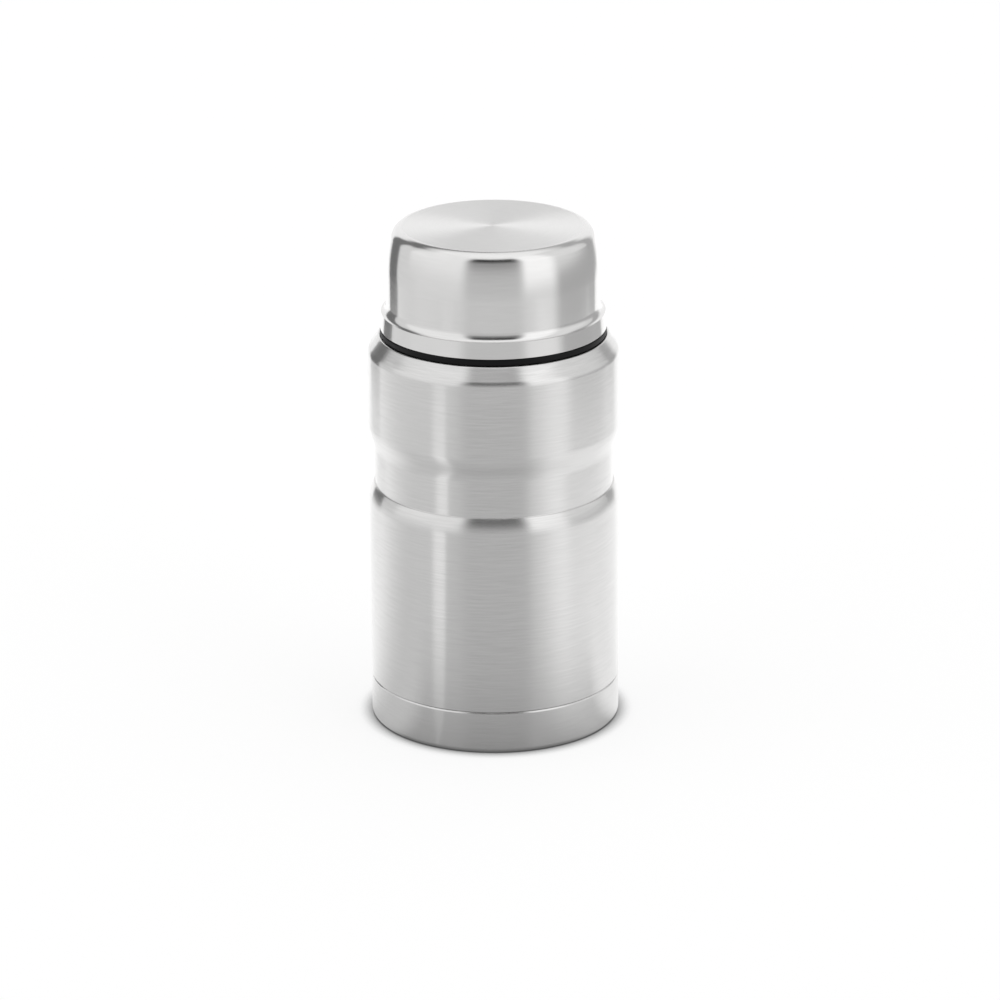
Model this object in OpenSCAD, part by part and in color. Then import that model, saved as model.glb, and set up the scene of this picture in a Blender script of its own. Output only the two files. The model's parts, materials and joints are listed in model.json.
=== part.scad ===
// Insulated food jar: a vacuum-walled steel body, a screw stopper with a vent
// button, and a double-walled steel cup that screws on over the stopper.
// Millimetres, +Z up, origin on the floor at the centre of the base.

/* [Body] */
// Diameter of the body
body_d = 100; // [99:1:130]
// Height of the base cup, up to the middle of its seam
base_h = 17.9; // [12:0.1:30]
// Radius of the base cup's lower edge
base_edge_r = 2; // [1:0.1:4]
// Width of the groove at the seam
seam_w = 1.2; // [0.6:0.1:2]
// Height of the straight wall below the waist
lower_h = 73.2; // [50:0.1:120]
// Height of the rounding that turns in to the waist
waist_round_h = 5.8; // [3:0.1:10]
// Depth of the waist
waist_depth = 2.35; // [1:0.05:3]
// Height of the waist's straight band
waist_h = 16; // [8:0.1:30]
// Height of the slope from the waist back to the full diameter
waist_rise_h = 10.8; // [6:0.1:20]
// Height of the straight wall above the waist
upper_h = 30.4; // [22:0.1:80]
// Height of the shoulder
shoulder_h = 5.3; // [4:0.1:8]
// Radius of the rolled lip on top of the shoulder
lip_r = 0.7; // [0.65:0.05:1]
// Wall of the outer shell and the base cup
shell_wall = 0.5; // [0.4:0.05:0.65]

/* [Base] */
// Height of the hollow under the base cup
base_recess_h = 2.5; // [1:0.1:3.5]
// Width of the flat ring that the jar stands on
foot_w = 5; // [3:0.1:8]
// Gap between the base cup's floor and the shell's spigot
spigot_gap = 2.2; // [1:0.1:3]
// Height of the base plate's flange
plate_flange_h = 3.2; // [2:0.1:4]
// Depth of the dimple that holds the sealing bead
dimple_h = 1.5; // [1:0.1:2]
// Radius of the dimple
dimple_r = 6; // [5:0.5:10]
// Radius of the evacuation hole
evacuation_r = 0.8; // [0.5:0.1:1.5]
// Radius of the sealing bead
bead_r = 4; // [3:0.1:4.5]

/* [Liner] */
// Wall of the inner liner
liner_wall = 0.4; // [0.3:0.05:0.6]
// Vacuum gap beside the liner
vacuum_gap = 5.7; // [4.5:0.1:7]
// Vacuum gap under the liner
floor_gap = 4.5; // [4:0.1:8]
// Outer radius of the liner's lower edge
liner_edge_r = 8; // [4:0.5:15]
// Height of the liner's shoulder below the neck
liner_shoulder_h = 11; // [8:0.5:14]
// Thickness of the radiation foil
foil_t = 0.15; // [0.1:0.05:0.3]
// Distance of the radiation foil from the liner's curves
foil_margin = 2; // [1:0.5:10]
// Diameter of the getter capsule
getter_d = 10; // [8:0.5:12]
// Height of the getter capsule
getter_h = 2.2; // [1.5:0.1:2.6]
// Distance of the getter capsule from the axis
getter_x = 22; // [18:1:30]
// Thickness of the getter's strap
strap_t = 0.3; // [0.2:0.1:0.5]

/* [Neck] */
// Clear diameter of the mouth
mouth_d = 67; // [58:0.5:67.5]
// Height of the neck above the lip
neck_h = 11.8; // [11:0.1:14]
// Vacuum gap in the neck
neck_gap = 0.6; // [0.3:0.1:0.8]
// Depth of the ledge around the neck, below the lip
ledge_drop = 1.5; // [1.2:0.1:2]
// Wall of the threaded neck ring
ring_wall = 0.5; // [0.4:0.05:0.6]

/* [Threads] */
// Number of thread starts
starts = 3; // [2:1:4]
// Height from one ridge to the next
pitch = 4; // [3.6:0.1:4.4]
// Width of a ridge at its root
ridge_root_w = 1.5; // [1.2:0.1:1.7]
// Width of a ridge at its crest
ridge_crest_w = 0.8; // [0.5:0.1:1]
// How far facing ridges reach past each other
thread_bite = 0.7; // [0.5:0.05:0.8]
// Height that the neck ring's thread climbs
neck_climb = 7.2; // [5:0.1:7.5]
// Height that the stopper's inner thread climbs
lug_climb = 5; // [3:0.1:6]
// Height that the stopper's outer thread climbs
skirt_climb = 5.2; // [4:0.1:5.5]
// Height that the cup's thread climbs
cup_climb = 4; // [2:0.1:4.5]
// Play between a crest and the wall that it faces
thread_play = 0.3; // [0.2:0.05:0.4]

/* [Stopper] */
// Height of the stopper, from the flange's underside to the grip's top
stopper_h = 21.7; // [21:0.1:26]
// Thickness of the stopper's flange, the black ring that shows
flange_t = 3; // [2:0.1:4]
// How far the flange stays inside the lip's crest
flange_inset = 0.3; // [0.1:0.1:0.8]
// Gap between the lip and the flange
flange_gap = 0.2; // [0.1:0.05:0.4]
// Wall of the stopper's skirt
skirt_wall = 1.3; // [1:0.1:1.4]
// Thickness of the deck above the mouth
deck_t = 1.6; // [1.2:0.1:2]
// Number of grip ribs
grip_ribs = 48; // [24:1:60]
// Height of a grip rib above the skirt
rib_h = 0.4; // [0.2:0.05:0.4]
// Thickness of the top cover
cover_t = 1.6; // [1.2:0.1:2]
// Depth of the grip's rim above the top cover
cover_drop = 0.4; // [0.2:0.1:0.6]
// Width of the ledge that carries the top cover
cover_ledge = 1; // [0.6:0.1:2]
// Length of the plug below the rim
plug_depth = 17.9; // [14:0.1:18]
// Wall of the plug
plug_wall = 1.2; // [1:0.1:2]
// Gap between the plug and the mouth
plug_gap = 0.6; // [0.4:0.05:0.8]
// Height of the plug's seal
plug_seal_h = 2.8; // [2:0.1:4]
// Depth of the groove for the plug's seal
plug_groove = 0.6; // [0.4:0.1:0.7]
// Gap between the plug's seal and the mouth
seal_gap = 0.2; // [0.15:0.05:0.3]
// Thickness of the lip seal
lip_seal_t = 1.8; // [1.2:0.1:2.4]

/* [Vent] */
// Radius of the vent button
button_r = 8; // [7.5:0.5:11]
// Height of the vent button above the top cover
button_proud = 1; // [0.6:0.1:1.6]
// Travel of the vent button
button_travel = 1.5; // [0.8:0.1:1.5]
// Wall and top of the vent button
button_wall = 1.2; // [1:0.1:1.6]
// Width of the button's retaining flange
button_flange = 1.2; // [0.8:0.1:2]
// Radius of the stem
stem_r = 1.6; // [1.4:0.1:2]
// Outer radius of the guide tube
guide_r = 4.2; // [3.8:0.1:4.4]
// Radius of the valve seal
valve_r = 5.5; // [4.5:0.1:8]
// Thickness of the valve seal
valve_t = 1.6; // [1:0.1:2]
// Thickness of the retaining clip
clip_t = 0.7; // [0.5:0.1:1]
// Radius of the retaining clip
clip_r = 3.2; // [2.8:0.1:4]
// Wire of the vent spring
wire_d = 0.7; // [0.4:0.1:0.7]
// Mean radius of the vent spring
spring_r = 5.5; // [5.4:0.1:5.8]
// Turns of the vent spring
spring_turns = 4; // [3:0.5:4]

/* [Cup] */
// Wall of the cup's threaded ring
cup_ring_wall = 1.4; // [1:0.1:1.6]
// How far the cup's band stays inside the flange
band_inset = 0.85; // [0.3:0.05:1.2]
// Height of the cup's band
band_h = 6.2; // [5.6:0.1:8]
// How far the cup's wall stays inside its band
wall_inset = 1.75; // [1.2:0.05:2]
// Height of the curve from the band to the wall
band_curve_h = 3.6; // [3:0.1:6]
// Height of the cup's straight wall
cup_straight_h = 11.8; // [8:0.1:40]
// Height of the cup's barrelled wall
barrel_h = 15.5; // [12:0.1:30]
// How far the barrelled wall leans in
barrel_in = 2; // [0.5:0.1:3]
// Radius of the cup's top edge
crown_r = 4.9; // [3:0.1:10]
// Wall of the cup's outer shell
cup_wall = 0.5; // [0.4:0.05:0.7]
// Wall of the cup's inner liner
cup_liner_wall = 0.4; // [0.3:0.05:0.6]
// Air gap beside the cup's liner
cup_gap = 1.9; // [1.2:0.1:2.2]
// Air gap above the cup's liner
crown_gap = 4.2; // [2:0.1:8]
// Gap between the flange and the cup's rim
rim_gap = 0.1; // [0.05:0.05:0.3]
// Thickness of the cup's gasket
gasket_t = 1.2; // [0.8:0.1:1.4]

/* [Hidden] */
$fn = 96;

steel = "silver";
bright_steel = "gainsboro";
black_plastic = "dimgray";
silicone = "darkgray";

fit = 0.05;          // gap of a pressed or welded joint
end_room = 0.6;      // gap between the end of a ring and the step that it meets
cut = 1;             // how far a cutter runs past what it cuts
sink = 0.3;          // depth that a ridge's root is sunk into its wall
curve_steps = 10;    // straight pieces in a curved stretch of an outline
ridge_step = 7.5;    // degrees along a ridge between its sections
fade_steps = 3;      // sections over which a ridge's end fades

// Heights of the body, from the floor up
shell_r = body_d / 2;
waist_r = shell_r - waist_depth;
lower_top_z = base_h + lower_h;
waist_z = lower_top_z + waist_round_h;
waist_top_z = waist_z + waist_h;
upper_z = waist_top_z + waist_rise_h;
shoulder_z = upper_z + upper_h;
lip_z = shoulder_z + shoulder_h;
lip_top_z = lip_z + lip_r;
ledge_z = lip_top_z - ledge_drop;
rim_z = lip_top_z + neck_h;

// Base
spigot_r = shell_r - shell_wall - fit;
spigot_z = base_recess_h + shell_wall + spigot_gap;
plate_r = spigot_r - shell_wall - fit;
plate_z = spigot_z + plate_flange_h - shell_wall;
plate_top_z = plate_z + shell_wall;
foot_out_r = shell_r - base_edge_r;
foot_in_r = foot_out_r - foot_w;
recess_r = foot_in_r - base_recess_h;
dimple_z = plate_z + dimple_h;
dimple_slope = 1.5;

// Liner and neck
throat_room = 1;
liner_r = shell_r - shell_wall - vacuum_gap;
liner_z = plate_top_z + floor_gap;
mouth_r = mouth_d / 2;
throat_r = mouth_r + liner_wall;
neck_in_r = throat_r + neck_gap;
neck_r = neck_in_r + shell_wall;
neck_top_z = rim_z - liner_wall;
throat_z = rim_z - plug_depth - throat_room;
liner_shoulder_z = throat_z - liner_shoulder_h;
ring_in_r = neck_r + fit;
ring_r = ring_in_r + ring_wall;
ring_z = ledge_z + end_room;
ring_h = neck_top_z - end_room - ring_z;

// Threads: every ridge lies on one family of helices
lead = starts * pitch;
lug_crest_r = ring_r + thread_play;
neck_crest_r = lug_crest_r + thread_bite;
skirt_in_r = neck_crest_r + thread_play;
skirt_r = skirt_in_r + skirt_wall;
cup_crest_r = skirt_r + rib_h + thread_play;
skirt_crest_r = cup_crest_r + thread_bite;
cup_root_r = skirt_crest_r + thread_play;
thread_inset = 1.6;  // from a thread's first ridge to the end of its wall

// The cup fits over its thread, the flange under the cup's band, and the lip
// under the flange; the shoulder takes up what is left to the body's wall
liner_room = 0.2;    // gap between the cup's walls below its air gap
mid_liner_r = cup_root_r + cup_ring_wall + fit + cup_liner_wall;
cup_r = mid_liner_r + cup_wall + liner_room;
band_r = cup_r + wall_inset;
flange_r = band_r + band_inset;
lip_x = flange_r + flange_inset;

// Stopper
flange_z = lip_top_z + flange_gap;
flange_top_z = flange_z + flange_t;
skirt_thread_z = flange_top_z + thread_inset;
stopper_top_z = flange_z + stopper_h;
lip_seal_z = rim_z + fit;
deck_z = lip_seal_z + lip_seal_t + fit;
deck_top_z = deck_z + deck_t;
cover_z = stopper_top_z - cover_drop - cover_t;
cover_top_z = cover_z + cover_t;
plug_r = mouth_r - plug_gap;
plug_z = rim_z - plug_depth;
plug_floor_z = plug_z + plug_wall;
plug_in_r = plug_r - plug_wall;
plug_seal_z = plug_z + 3;
plug_groove_r = plug_r - plug_groove;
rib_z = skirt_thread_z + skirt_climb + ridge_root_w;

// Vent
button_top_z = cover_top_z + button_proud;
button_cap_z = button_top_z - button_wall;
button_play = 0.3;
button_flange_z = cover_z - 0.2 - button_wall;
button_skirt_r = button_r - button_wall;
button_bore_r = button_r + button_play;
guide_flange_t = 1.2;
guide_top_z = deck_top_z + guide_flange_t;
hub_r = stem_r + 1.4;
hub_z = guide_top_z + button_travel + button_play;
valve_z = plug_z - fit - valve_t;
clip_z = valve_z - clip_t;
stem_end = 0.7;
stem_z = clip_z - stem_end;
groove_r = stem_r - 0.3;
guide_bore_r = stem_r + button_play;
guide_flange_r = guide_r + 0.5;
valve_hole_r = stem_r + 1;

// Cup
cup_z = flange_top_z + rim_gap;
band_top_z = cup_z + band_h;
cup_wall_z = band_top_z + band_curve_h;
barrel_z = cup_wall_z + cup_straight_h;
crown_z = barrel_z + barrel_h;
crown_lean = atan(2 * barrel_in / barrel_h);
crown_x = cup_r - barrel_in - crown_r * cos(crown_lean);
cup_top_z = crown_z + crown_r * (1 - sin(crown_lean));
hem = 0.3;
skirt_liner_r = band_r - cup_wall - liner_room / 2;
cup_liner_r = cup_r - cup_wall - cup_gap;
liner_step_z = band_top_z - 2 * end_room;
cup_ceiling_z = cup_top_z - cup_wall - crown_gap;
gasket_z = flange_top_z + fit;
cup_ring_z = gasket_z + gasket_t + fit;
cup_ring_low_z = liner_step_z - end_room;
cup_ring_top_z = cup_wall_z - 2 * end_room;

// Direction to the left of the line from a to b
function left_of(a, b) = let (d = (b - a) / norm(b - a)) [-d[1], d[0]];

// Point i of a path, moved left by t with a mitred corner
function inset_point(path, i, t) = let (
        last = len(path) - 1,
        before = left_of(path[max(i - 1, 0)], path[max(i, 1)]),
        after = left_of(path[min(i, last - 1)], path[min(i + 1, last)])
    )
    path[i] + (before + after) * t / (1 + before * after);

// Distance from p to the line from a to b, and to the nearest line of a path
function line_gap(p, a, b) =
    let (d = b - a, s = max(0, min(1, (p - a) * d / (d * d)))) norm(p - a - s * d);
function path_gap(p, path) =
    min([for (i = [0:len(path) - 2]) line_gap(p, path[i], path[i + 1])]);

// The whole path, moved left by t and read backwards, without the points that
// a tight corner folds over
function inset_back(path, t) = [
    for (i = [len(path) - 1:-1:0])
        let (p = inset_point(path, i, t))
        if (path_gap(p, path) > 0.98 * t) p
];

// Arc about a centre, as points
function arc(centre, r, from, to) = [
    for (i = [0:curve_steps])
        let (a = from + (to - from) * i / curve_steps)
        centre + r * [cos(a), sin(a)]
];

// Smooth S-shaped curve from a to b, upright at both ends, as points
function ease(a, b) = [
    for (i = [0:curve_steps])
        let (t = i / curve_steps)
        [a[0] + (b[0] - a[0]) * (1 - cos(180 * t)) / 2, a[1] + (b[1] - a[1]) * t]
];

// Sheet metal turned about the axis: path is its outer face, read upwards
module turned_sheet(path, wall) {
    rotate_extrude() polygon(concat(path, inset_back(path, wall)));
}

// Ring between two radii
module ring(inner_r, outer_r, z, h) {
    translate([0, 0, z]) rotate_extrude()
        translate([inner_r, 0]) square([outer_r - inner_r, h]);
}

// Sections of one ridge: root and crest edges, fading at both ends
function ridge_points(wall_r, crest_r, z, climb, shift, steps) = let (
        side = sign(crest_r - wall_r),
        phase = 360 * (z - shift) / lead
    )
    [
        for (i = [0:steps])
            let (
                a = phase + 360 * climb / lead * i / steps,
                h = shift + lead * a / 360,
                full = min(1, i / fade_steps, (steps - i) / fade_steps),
                low_r = wall_r - side * 0.1,
                top_r = low_r + (crest_r - low_r) * full,
                root_r = wall_r - side * sink
            )
            for (p = [
                [root_r, -ridge_root_w / 2], [top_r, -ridge_crest_w / 2],
                [top_r, ridge_crest_w / 2], [root_r, ridge_root_w / 2]
            ])
                [p[0] * cos(a), p[0] * sin(a), h + p[1]]
    ];

// Triangles of a ridge; an inward ridge has them the other way round
function ridge_faces(steps, inward) = let (
        last = 4 * steps,
        faces = concat(
            [[0, 1, 2], [0, 2, 3]],
            [[last, last + 2, last + 1], [last, last + 3, last + 2]],
            [
                for (i = [0:steps - 1], j = [0:3])
                    let (a = 4 * i + j, b = 4 * i + (j + 1) % 4)
                    for (f = [[a, a + 4, b + 4], [a, b + 4, b]]) f
            ]
        )
    )
    inward ? faces : [for (f = faces) [f[2], f[1], f[0]]];

// One ridge for each start, climbing from height z
module ridges(wall_r, crest_r, z, climb, shift) {
    steps = ceil(360 * climb / lead / ridge_step);
    for (s = [0:starts - 1])
        rotate(360 * s / starts)
            polyhedron(
                ridge_points(wall_r, crest_r, z, climb, shift, steps),
                ridge_faces(steps, crest_r < wall_r)
            );
}

// Body: base ---------------------------------------------------------------

module base_cup() {
    top_z = base_h - seam_w / 2;
    color(steel) turned_sheet(concat(
        [[0, base_recess_h], [recess_r, base_recess_h], [foot_in_r, 0]],
        arc([foot_out_r, base_edge_r], base_edge_r, -90, 0),
        [[shell_r, top_z]]
    ), shell_wall);
}

module base_plate() {
    color(steel) turned_sheet([
        [evacuation_r, dimple_z],
        [dimple_r, dimple_z],
        [dimple_r + dimple_slope, plate_z],
        [plate_r - shell_wall, plate_z],
        [plate_r - shell_wall, spigot_z]
    ], shell_wall);
}

module sealing_bead() {
    color("goldenrod") rotate_extrude() polygon([
        [0, plate_z], [bead_r - 1, plate_z], [bead_r, plate_z + 0.6],
        [bead_r, dimple_z], [0, dimple_z]
    ]);
}

// Body: shell and liner -----------------------------------------------------

module outer_shell() {
    color(steel) turned_sheet(concat(
        [[spigot_r, spigot_z], [spigot_r, base_h]],
        [[shell_r, base_h + seam_w / 2]],
        [
            for (i = [0:curve_steps])
                let (a = 90 * i / curve_steps)
                [waist_r + waist_depth * cos(a), lower_top_z + waist_round_h * sin(a)]
        ],
        ease([waist_r, waist_top_z], [shell_r, upper_z]),
        [[shell_r, shoulder_z]],
        arc([lip_x, lip_z], lip_r, 0, 180),
        [[lip_x - lip_r, ledge_z], [neck_r, ledge_z], [neck_r, neck_top_z]]
    ), shell_wall);
}

module inner_liner() {
    color(bright_steel) turned_sheet(concat(
        [[0, liner_z]],
        arc([liner_r - liner_edge_r, liner_z + liner_edge_r], liner_edge_r, -90, 0),
        ease([liner_r, liner_shoulder_z], [throat_r, throat_z]),
        [[throat_r, neck_top_z], [neck_r, neck_top_z]]
    ), liner_wall);
}

module radiation_foil() {
    slit_w = 3;
    z = liner_z + liner_edge_r + foil_margin;
    foil_h = liner_shoulder_z - foil_margin - z;
    color("peru") difference() {
        ring(liner_r + fit, liner_r + fit + foil_t, z, foil_h);
        translate([0, -slit_w / 2, z - cut]) cube([shell_r, slit_w, foil_h + 2 * cut]);
    }
}

module getter_capsule() {
    color("darkseagreen") translate([getter_x, 0, plate_top_z])
        cylinder(d = getter_d, h = getter_h);
}

module getter_strap() {
    half = getter_d / 2 + fit;
    strap_w = 3;
    strap_foot = 3;
    top = getter_h + fit;
    color(bright_steel) translate([getter_x, strap_w / 2, plate_top_z])
        rotate([90, 0, 0]) linear_extrude(strap_w) polygon([
            [-half - strap_foot, 0], [-half, 0], [-half, top], [half, top],
            [half, 0], [half + strap_foot, 0], [half + strap_foot, strap_t],
            [half + strap_t, strap_t], [half + strap_t, top + strap_t],
            [-half - strap_t, top + strap_t], [-half - strap_t, strap_t],
            [-half - strap_foot, strap_t]
        ]);
}

module neck_thread_ring() {
    color(bright_steel) {
        ring(ring_in_r, ring_r, ring_z, ring_h);
        ridges(ring_r, neck_crest_r, ring_z + thread_inset, neck_climb, ring_z);
    }
}

// Stopper ------------------------------------------------------------------

module lip_seal() {
    color(silicone) ring(mouth_r, neck_r + 1, lip_seal_z, lip_seal_t);
}

module stopper_body() {
    rib_top_z = stopper_top_z - end_room;
    color(black_plastic) {
        difference() {
            union() {
                ring(skirt_in_r, flange_r, flange_z, flange_t);
                ring(skirt_in_r, skirt_r, flange_z, deck_z - flange_z);
                translate([0, 0, deck_z]) cylinder(r = skirt_r, h = stopper_top_z - deck_z);
            }
            translate([0, 0, deck_top_z])
                cylinder(r = skirt_in_r - cover_ledge, h = stopper_h);
            translate([0, 0, cover_z]) cylinder(r = skirt_in_r, h = stopper_h);
            translate([0, 0, flange_z]) cylinder(r = guide_r + fit, h = stopper_h);
        }
        for (i = [0:grip_ribs - 1])
            rotate(360 * i / grip_ribs) translate([skirt_r - sink, 0, rib_z])
                cylinder(r = rib_h + sink, h = rib_top_z - rib_z, $fn = 6);
        ridges(skirt_in_r, lug_crest_r, flange_z + thread_inset, lug_climb, ring_z + pitch / 2);
        ridges(skirt_r, skirt_crest_r, skirt_thread_z, skirt_climb, flange_top_z);
    }
}

module stopper_plug() {
    color(black_plastic) difference() {
        translate([0, 0, plug_z]) cylinder(r = plug_r, h = deck_z - plug_z);
        translate([0, 0, plug_floor_z]) cylinder(r = plug_in_r, h = deck_z);
        translate([0, 0, plug_z - cut]) cylinder(r = valve_hole_r, h = deck_z);
        ring(plug_groove_r, plug_r + cut, plug_seal_z - fit, plug_seal_h + 2 * fit);
    }
}

module stopper_foam() {
    color("khaki") ring(
        guide_r + fit, plug_in_r - fit, plug_floor_z + fit, deck_z - plug_floor_z - 2 * fit
    );
}

module plug_seal() {
    lip_h = 0.8;
    seal_r = mouth_r - seal_gap;
    color(silicone) rotate_extrude() polygon([
        [plug_groove_r + fit, plug_seal_z],
        [plug_r, plug_seal_z],
        [seal_r, plug_seal_z + lip_h],
        [plug_r, plug_seal_z + plug_seal_h],
        [plug_groove_r + fit, plug_seal_z + plug_seal_h]
    ]);
}

module stopper_top_cover() {
    land_w = 4;
    dish_h = 0.5;
    color(black_plastic) difference() {
        ring(button_bore_r, skirt_in_r - fit, cover_z, cover_t);
        ring(button_bore_r + land_w, skirt_in_r - land_w, cover_top_z - dish_h, dish_h + cut);
    }
}

// Vent ---------------------------------------------------------------------

module vent_guide() {
    color(black_plastic) {
        ring(guide_bore_r, guide_r, plug_floor_z + fit, deck_top_z - plug_floor_z);
        ring(guide_bore_r, guide_flange_r, deck_top_z, guide_flange_t);
    }
}

module vent_spring() {
    sides = 6;
    rings = 12;
    bottom_z = deck_top_z + wire_d / 2;
    rise = button_cap_z - wire_d - deck_top_z;
    steps = spring_turns * rings;
    echo(gap_between_turns = rise / spring_turns - wire_d);
    points = [
        for (i = [0:steps], j = [0:sides - 1])
            let (
                a = 360 * i / rings,
                b = 360 * j / sides,
                r = spring_r + wire_d / 2 * cos(b)
            )
            [r * cos(a), r * sin(a), bottom_z + rise * i / steps + wire_d / 2 * sin(b)]
    ];
    last = steps * sides;
    faces = concat(
        [for (j = [1:sides - 2]) [0, j, j + 1]],
        [for (j = [1:sides - 2]) [last, last + j + 1, last + j]],
        [
            for (i = [0:steps - 1], j = [0:sides - 1])
                let (a = i * sides + j, b = i * sides + (j + 1) % sides)
                for (f = [[a, a + sides, b + sides], [a, b + sides, b]]) f
        ]
    );
    color(bright_steel) polyhedron(points, faces);
}

module vent_button() {
    color(black_plastic) {
        ring(button_skirt_r, button_r, button_flange_z, button_cap_z - button_flange_z);
        ring(button_skirt_r, button_r + button_flange, button_flange_z, button_wall);
        ring(stem_r + fit, hub_r, hub_z, button_cap_z - hub_z);
        translate([0, 0, button_cap_z]) cylinder(r = button_r, h = button_wall);
    }
}

module vent_stem() {
    color(bright_steel) difference() {
        translate([0, 0, stem_z]) cylinder(r = stem_r, h = button_cap_z - stem_z);
        ring(groove_r, stem_r + cut, clip_z, clip_t);
    }
}

module valve_seal() {
    color(silicone) ring(stem_r + fit, valve_r, valve_z, valve_t);
}

module valve_clip() {
    mouth_w = 1.6 * groove_r;
    color(bright_steel) difference() {
        ring(groove_r + fit, clip_r, clip_z + fit, clip_t - 2 * fit);
        translate([0, -mouth_w / 2, clip_z]) cube([clip_r + cut, mouth_w, clip_t]);
    }
}

// Cup ----------------------------------------------------------------------

module cup_gasket() {
    color(silicone) ring(cup_root_r, skirt_liner_r - end_room, gasket_z, gasket_t);
}

module cup_outer_shell() {
    color(steel) turned_sheet(concat(
        [[band_r - hem, cup_z], [band_r, cup_z + hem]],
        [
            for (i = [0:curve_steps])
                let (a = 90 * i / curve_steps)
                [band_r - wall_inset * sin(a), cup_wall_z - band_curve_h * cos(a)]
        ],
        [
            for (i = [0:curve_steps])
                let (t = i / curve_steps)
                [cup_r - barrel_in * t * t, barrel_z + barrel_h * t]
        ],
        [
            for (i = [1:curve_steps])
                let (a = crown_lean + (90 - crown_lean) * i / curve_steps)
                [crown_x + crown_r * cos(a), cup_top_z - crown_r + crown_r * sin(a)]
        ],
        [[0, cup_top_z]]
    ), cup_wall);
}

module cup_inner_liner() {
    lean_r = cup_liner_r - barrel_in;
    color(bright_steel) turned_sheet(concat(
        [
            [skirt_liner_r, cup_z + 2 * hem],
            [skirt_liner_r, liner_step_z],
            [mid_liner_r, liner_step_z + end_room],
            [mid_liner_r, cup_wall_z - end_room],
            [cup_liner_r, cup_wall_z + end_room],
            [cup_liner_r, barrel_z]
        ],
        arc([lean_r - crown_r, cup_ceiling_z - crown_r], crown_r, 0, 90),
        [[0, cup_ceiling_z]]
    ), cup_liner_wall);
}

module cup_thread_ring() {
    low_r = skirt_liner_r - cup_liner_wall - fit;
    high_r = mid_liner_r - cup_liner_wall - fit;
    color(black_plastic) {
        ring(cup_root_r, low_r, cup_ring_z, cup_ring_low_z - cup_ring_z);
        ring(cup_root_r, high_r, cup_ring_z, cup_ring_top_z - cup_ring_z);
        ridges(
            cup_root_r, cup_crest_r, cup_ring_z + thread_inset, cup_climb,
            flange_top_z + pitch / 2
        );
    }
}

base_cup();
outer_shell();
base_plate();
sealing_bead();
inner_liner();
radiation_foil();
getter_capsule();
getter_strap();
neck_thread_ring();
lip_seal();
stopper_body();
stopper_plug();
stopper_foam();
plug_seal();
stopper_top_cover();
vent_guide();
vent_spring();
vent_button();
vent_stem();
valve_seal();
valve_clip();
cup_gasket();
cup_outer_shell();
cup_inner_liner();
cup_thread_ring();
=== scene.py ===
"""Studio scene of a waisted steel food jar with a screw stopper and a screw-on cup.

Sections are drawn in millimetres, as (radius, height) points round the jar's
upright axis, and become metres where a mesh is made. Heights and radii come from
the frame's solids; what their boxes don't give is a named size of its class.
"""

import json
import logging
import math
from collections.abc import Callable, Iterable, Sequence
from dataclasses import dataclass, field
from enum import Enum
from functools import cache

import bmesh
import bpy
from mathutils import Matrix, Vector


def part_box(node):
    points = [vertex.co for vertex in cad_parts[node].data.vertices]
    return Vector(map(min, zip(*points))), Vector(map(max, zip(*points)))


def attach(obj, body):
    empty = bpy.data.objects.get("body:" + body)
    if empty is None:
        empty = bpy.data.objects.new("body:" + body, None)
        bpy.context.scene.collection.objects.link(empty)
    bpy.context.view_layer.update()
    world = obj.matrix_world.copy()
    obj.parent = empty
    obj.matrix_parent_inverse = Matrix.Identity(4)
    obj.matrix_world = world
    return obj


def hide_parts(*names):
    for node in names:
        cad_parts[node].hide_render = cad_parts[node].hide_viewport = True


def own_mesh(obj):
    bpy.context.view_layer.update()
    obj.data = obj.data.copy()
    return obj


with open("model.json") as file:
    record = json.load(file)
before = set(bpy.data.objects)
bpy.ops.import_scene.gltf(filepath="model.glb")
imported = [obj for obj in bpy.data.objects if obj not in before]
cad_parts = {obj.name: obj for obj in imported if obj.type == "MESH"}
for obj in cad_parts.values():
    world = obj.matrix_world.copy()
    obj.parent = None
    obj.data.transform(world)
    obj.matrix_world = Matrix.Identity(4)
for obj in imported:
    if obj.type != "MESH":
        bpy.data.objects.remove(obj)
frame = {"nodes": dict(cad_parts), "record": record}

LOG = logging.getLogger("food_jar")
MM = 0.001
PER_METRE = 1000.0

Point = tuple[float, float]
Path = list[Point]
Socket = bpy.types.NodeSocket


# Frame -----------------------------------------------------------------------


class Body(Enum):
    """The moving bodies of the frame."""

    JAR = "jar"
    STOPPER_RISER = "stopper_riser"
    STOPPER = "stopper"
    VENT = "vent"
    CUP_RISER = "cup_riser"
    CUP = "cup"


class Slot(Enum):
    """The record's material slots."""

    BODY_STEEL = "body_steel"
    CUP_STEEL = "cup_steel"
    LINER_STEEL = "liner_steel"
    PLAIN_STEEL = "plain_steel"
    SPRING_STEEL = "spring_steel"
    COPPER_FOIL = "copper_foil"
    SEALING_GLASS = "sealing_glass"
    GETTER = "getter"
    BLACK_PLASTIC = "black_plastic"
    BUTTON_PLASTIC = "button_plastic"
    SILICONE = "silicone"
    FOAM = "foam"


@dataclass(frozen=True)
class Solid:
    """Where a turned solid of the frame is, in millimetres."""

    radius: float
    bottom: float
    top: float

    @classmethod
    def of(cls, node: str) -> "Solid":
        """Reads the box of one node."""
        low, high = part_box(node)
        return cls(high.x / MM, low.z / MM, high.z / MM)


# Sections --------------------------------------------------------------------


@dataclass(frozen=True)
class Corner:
    """A corner of a section, with the radius of its fillet."""

    r: float
    z: float
    fillet: float = 0.0


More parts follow.
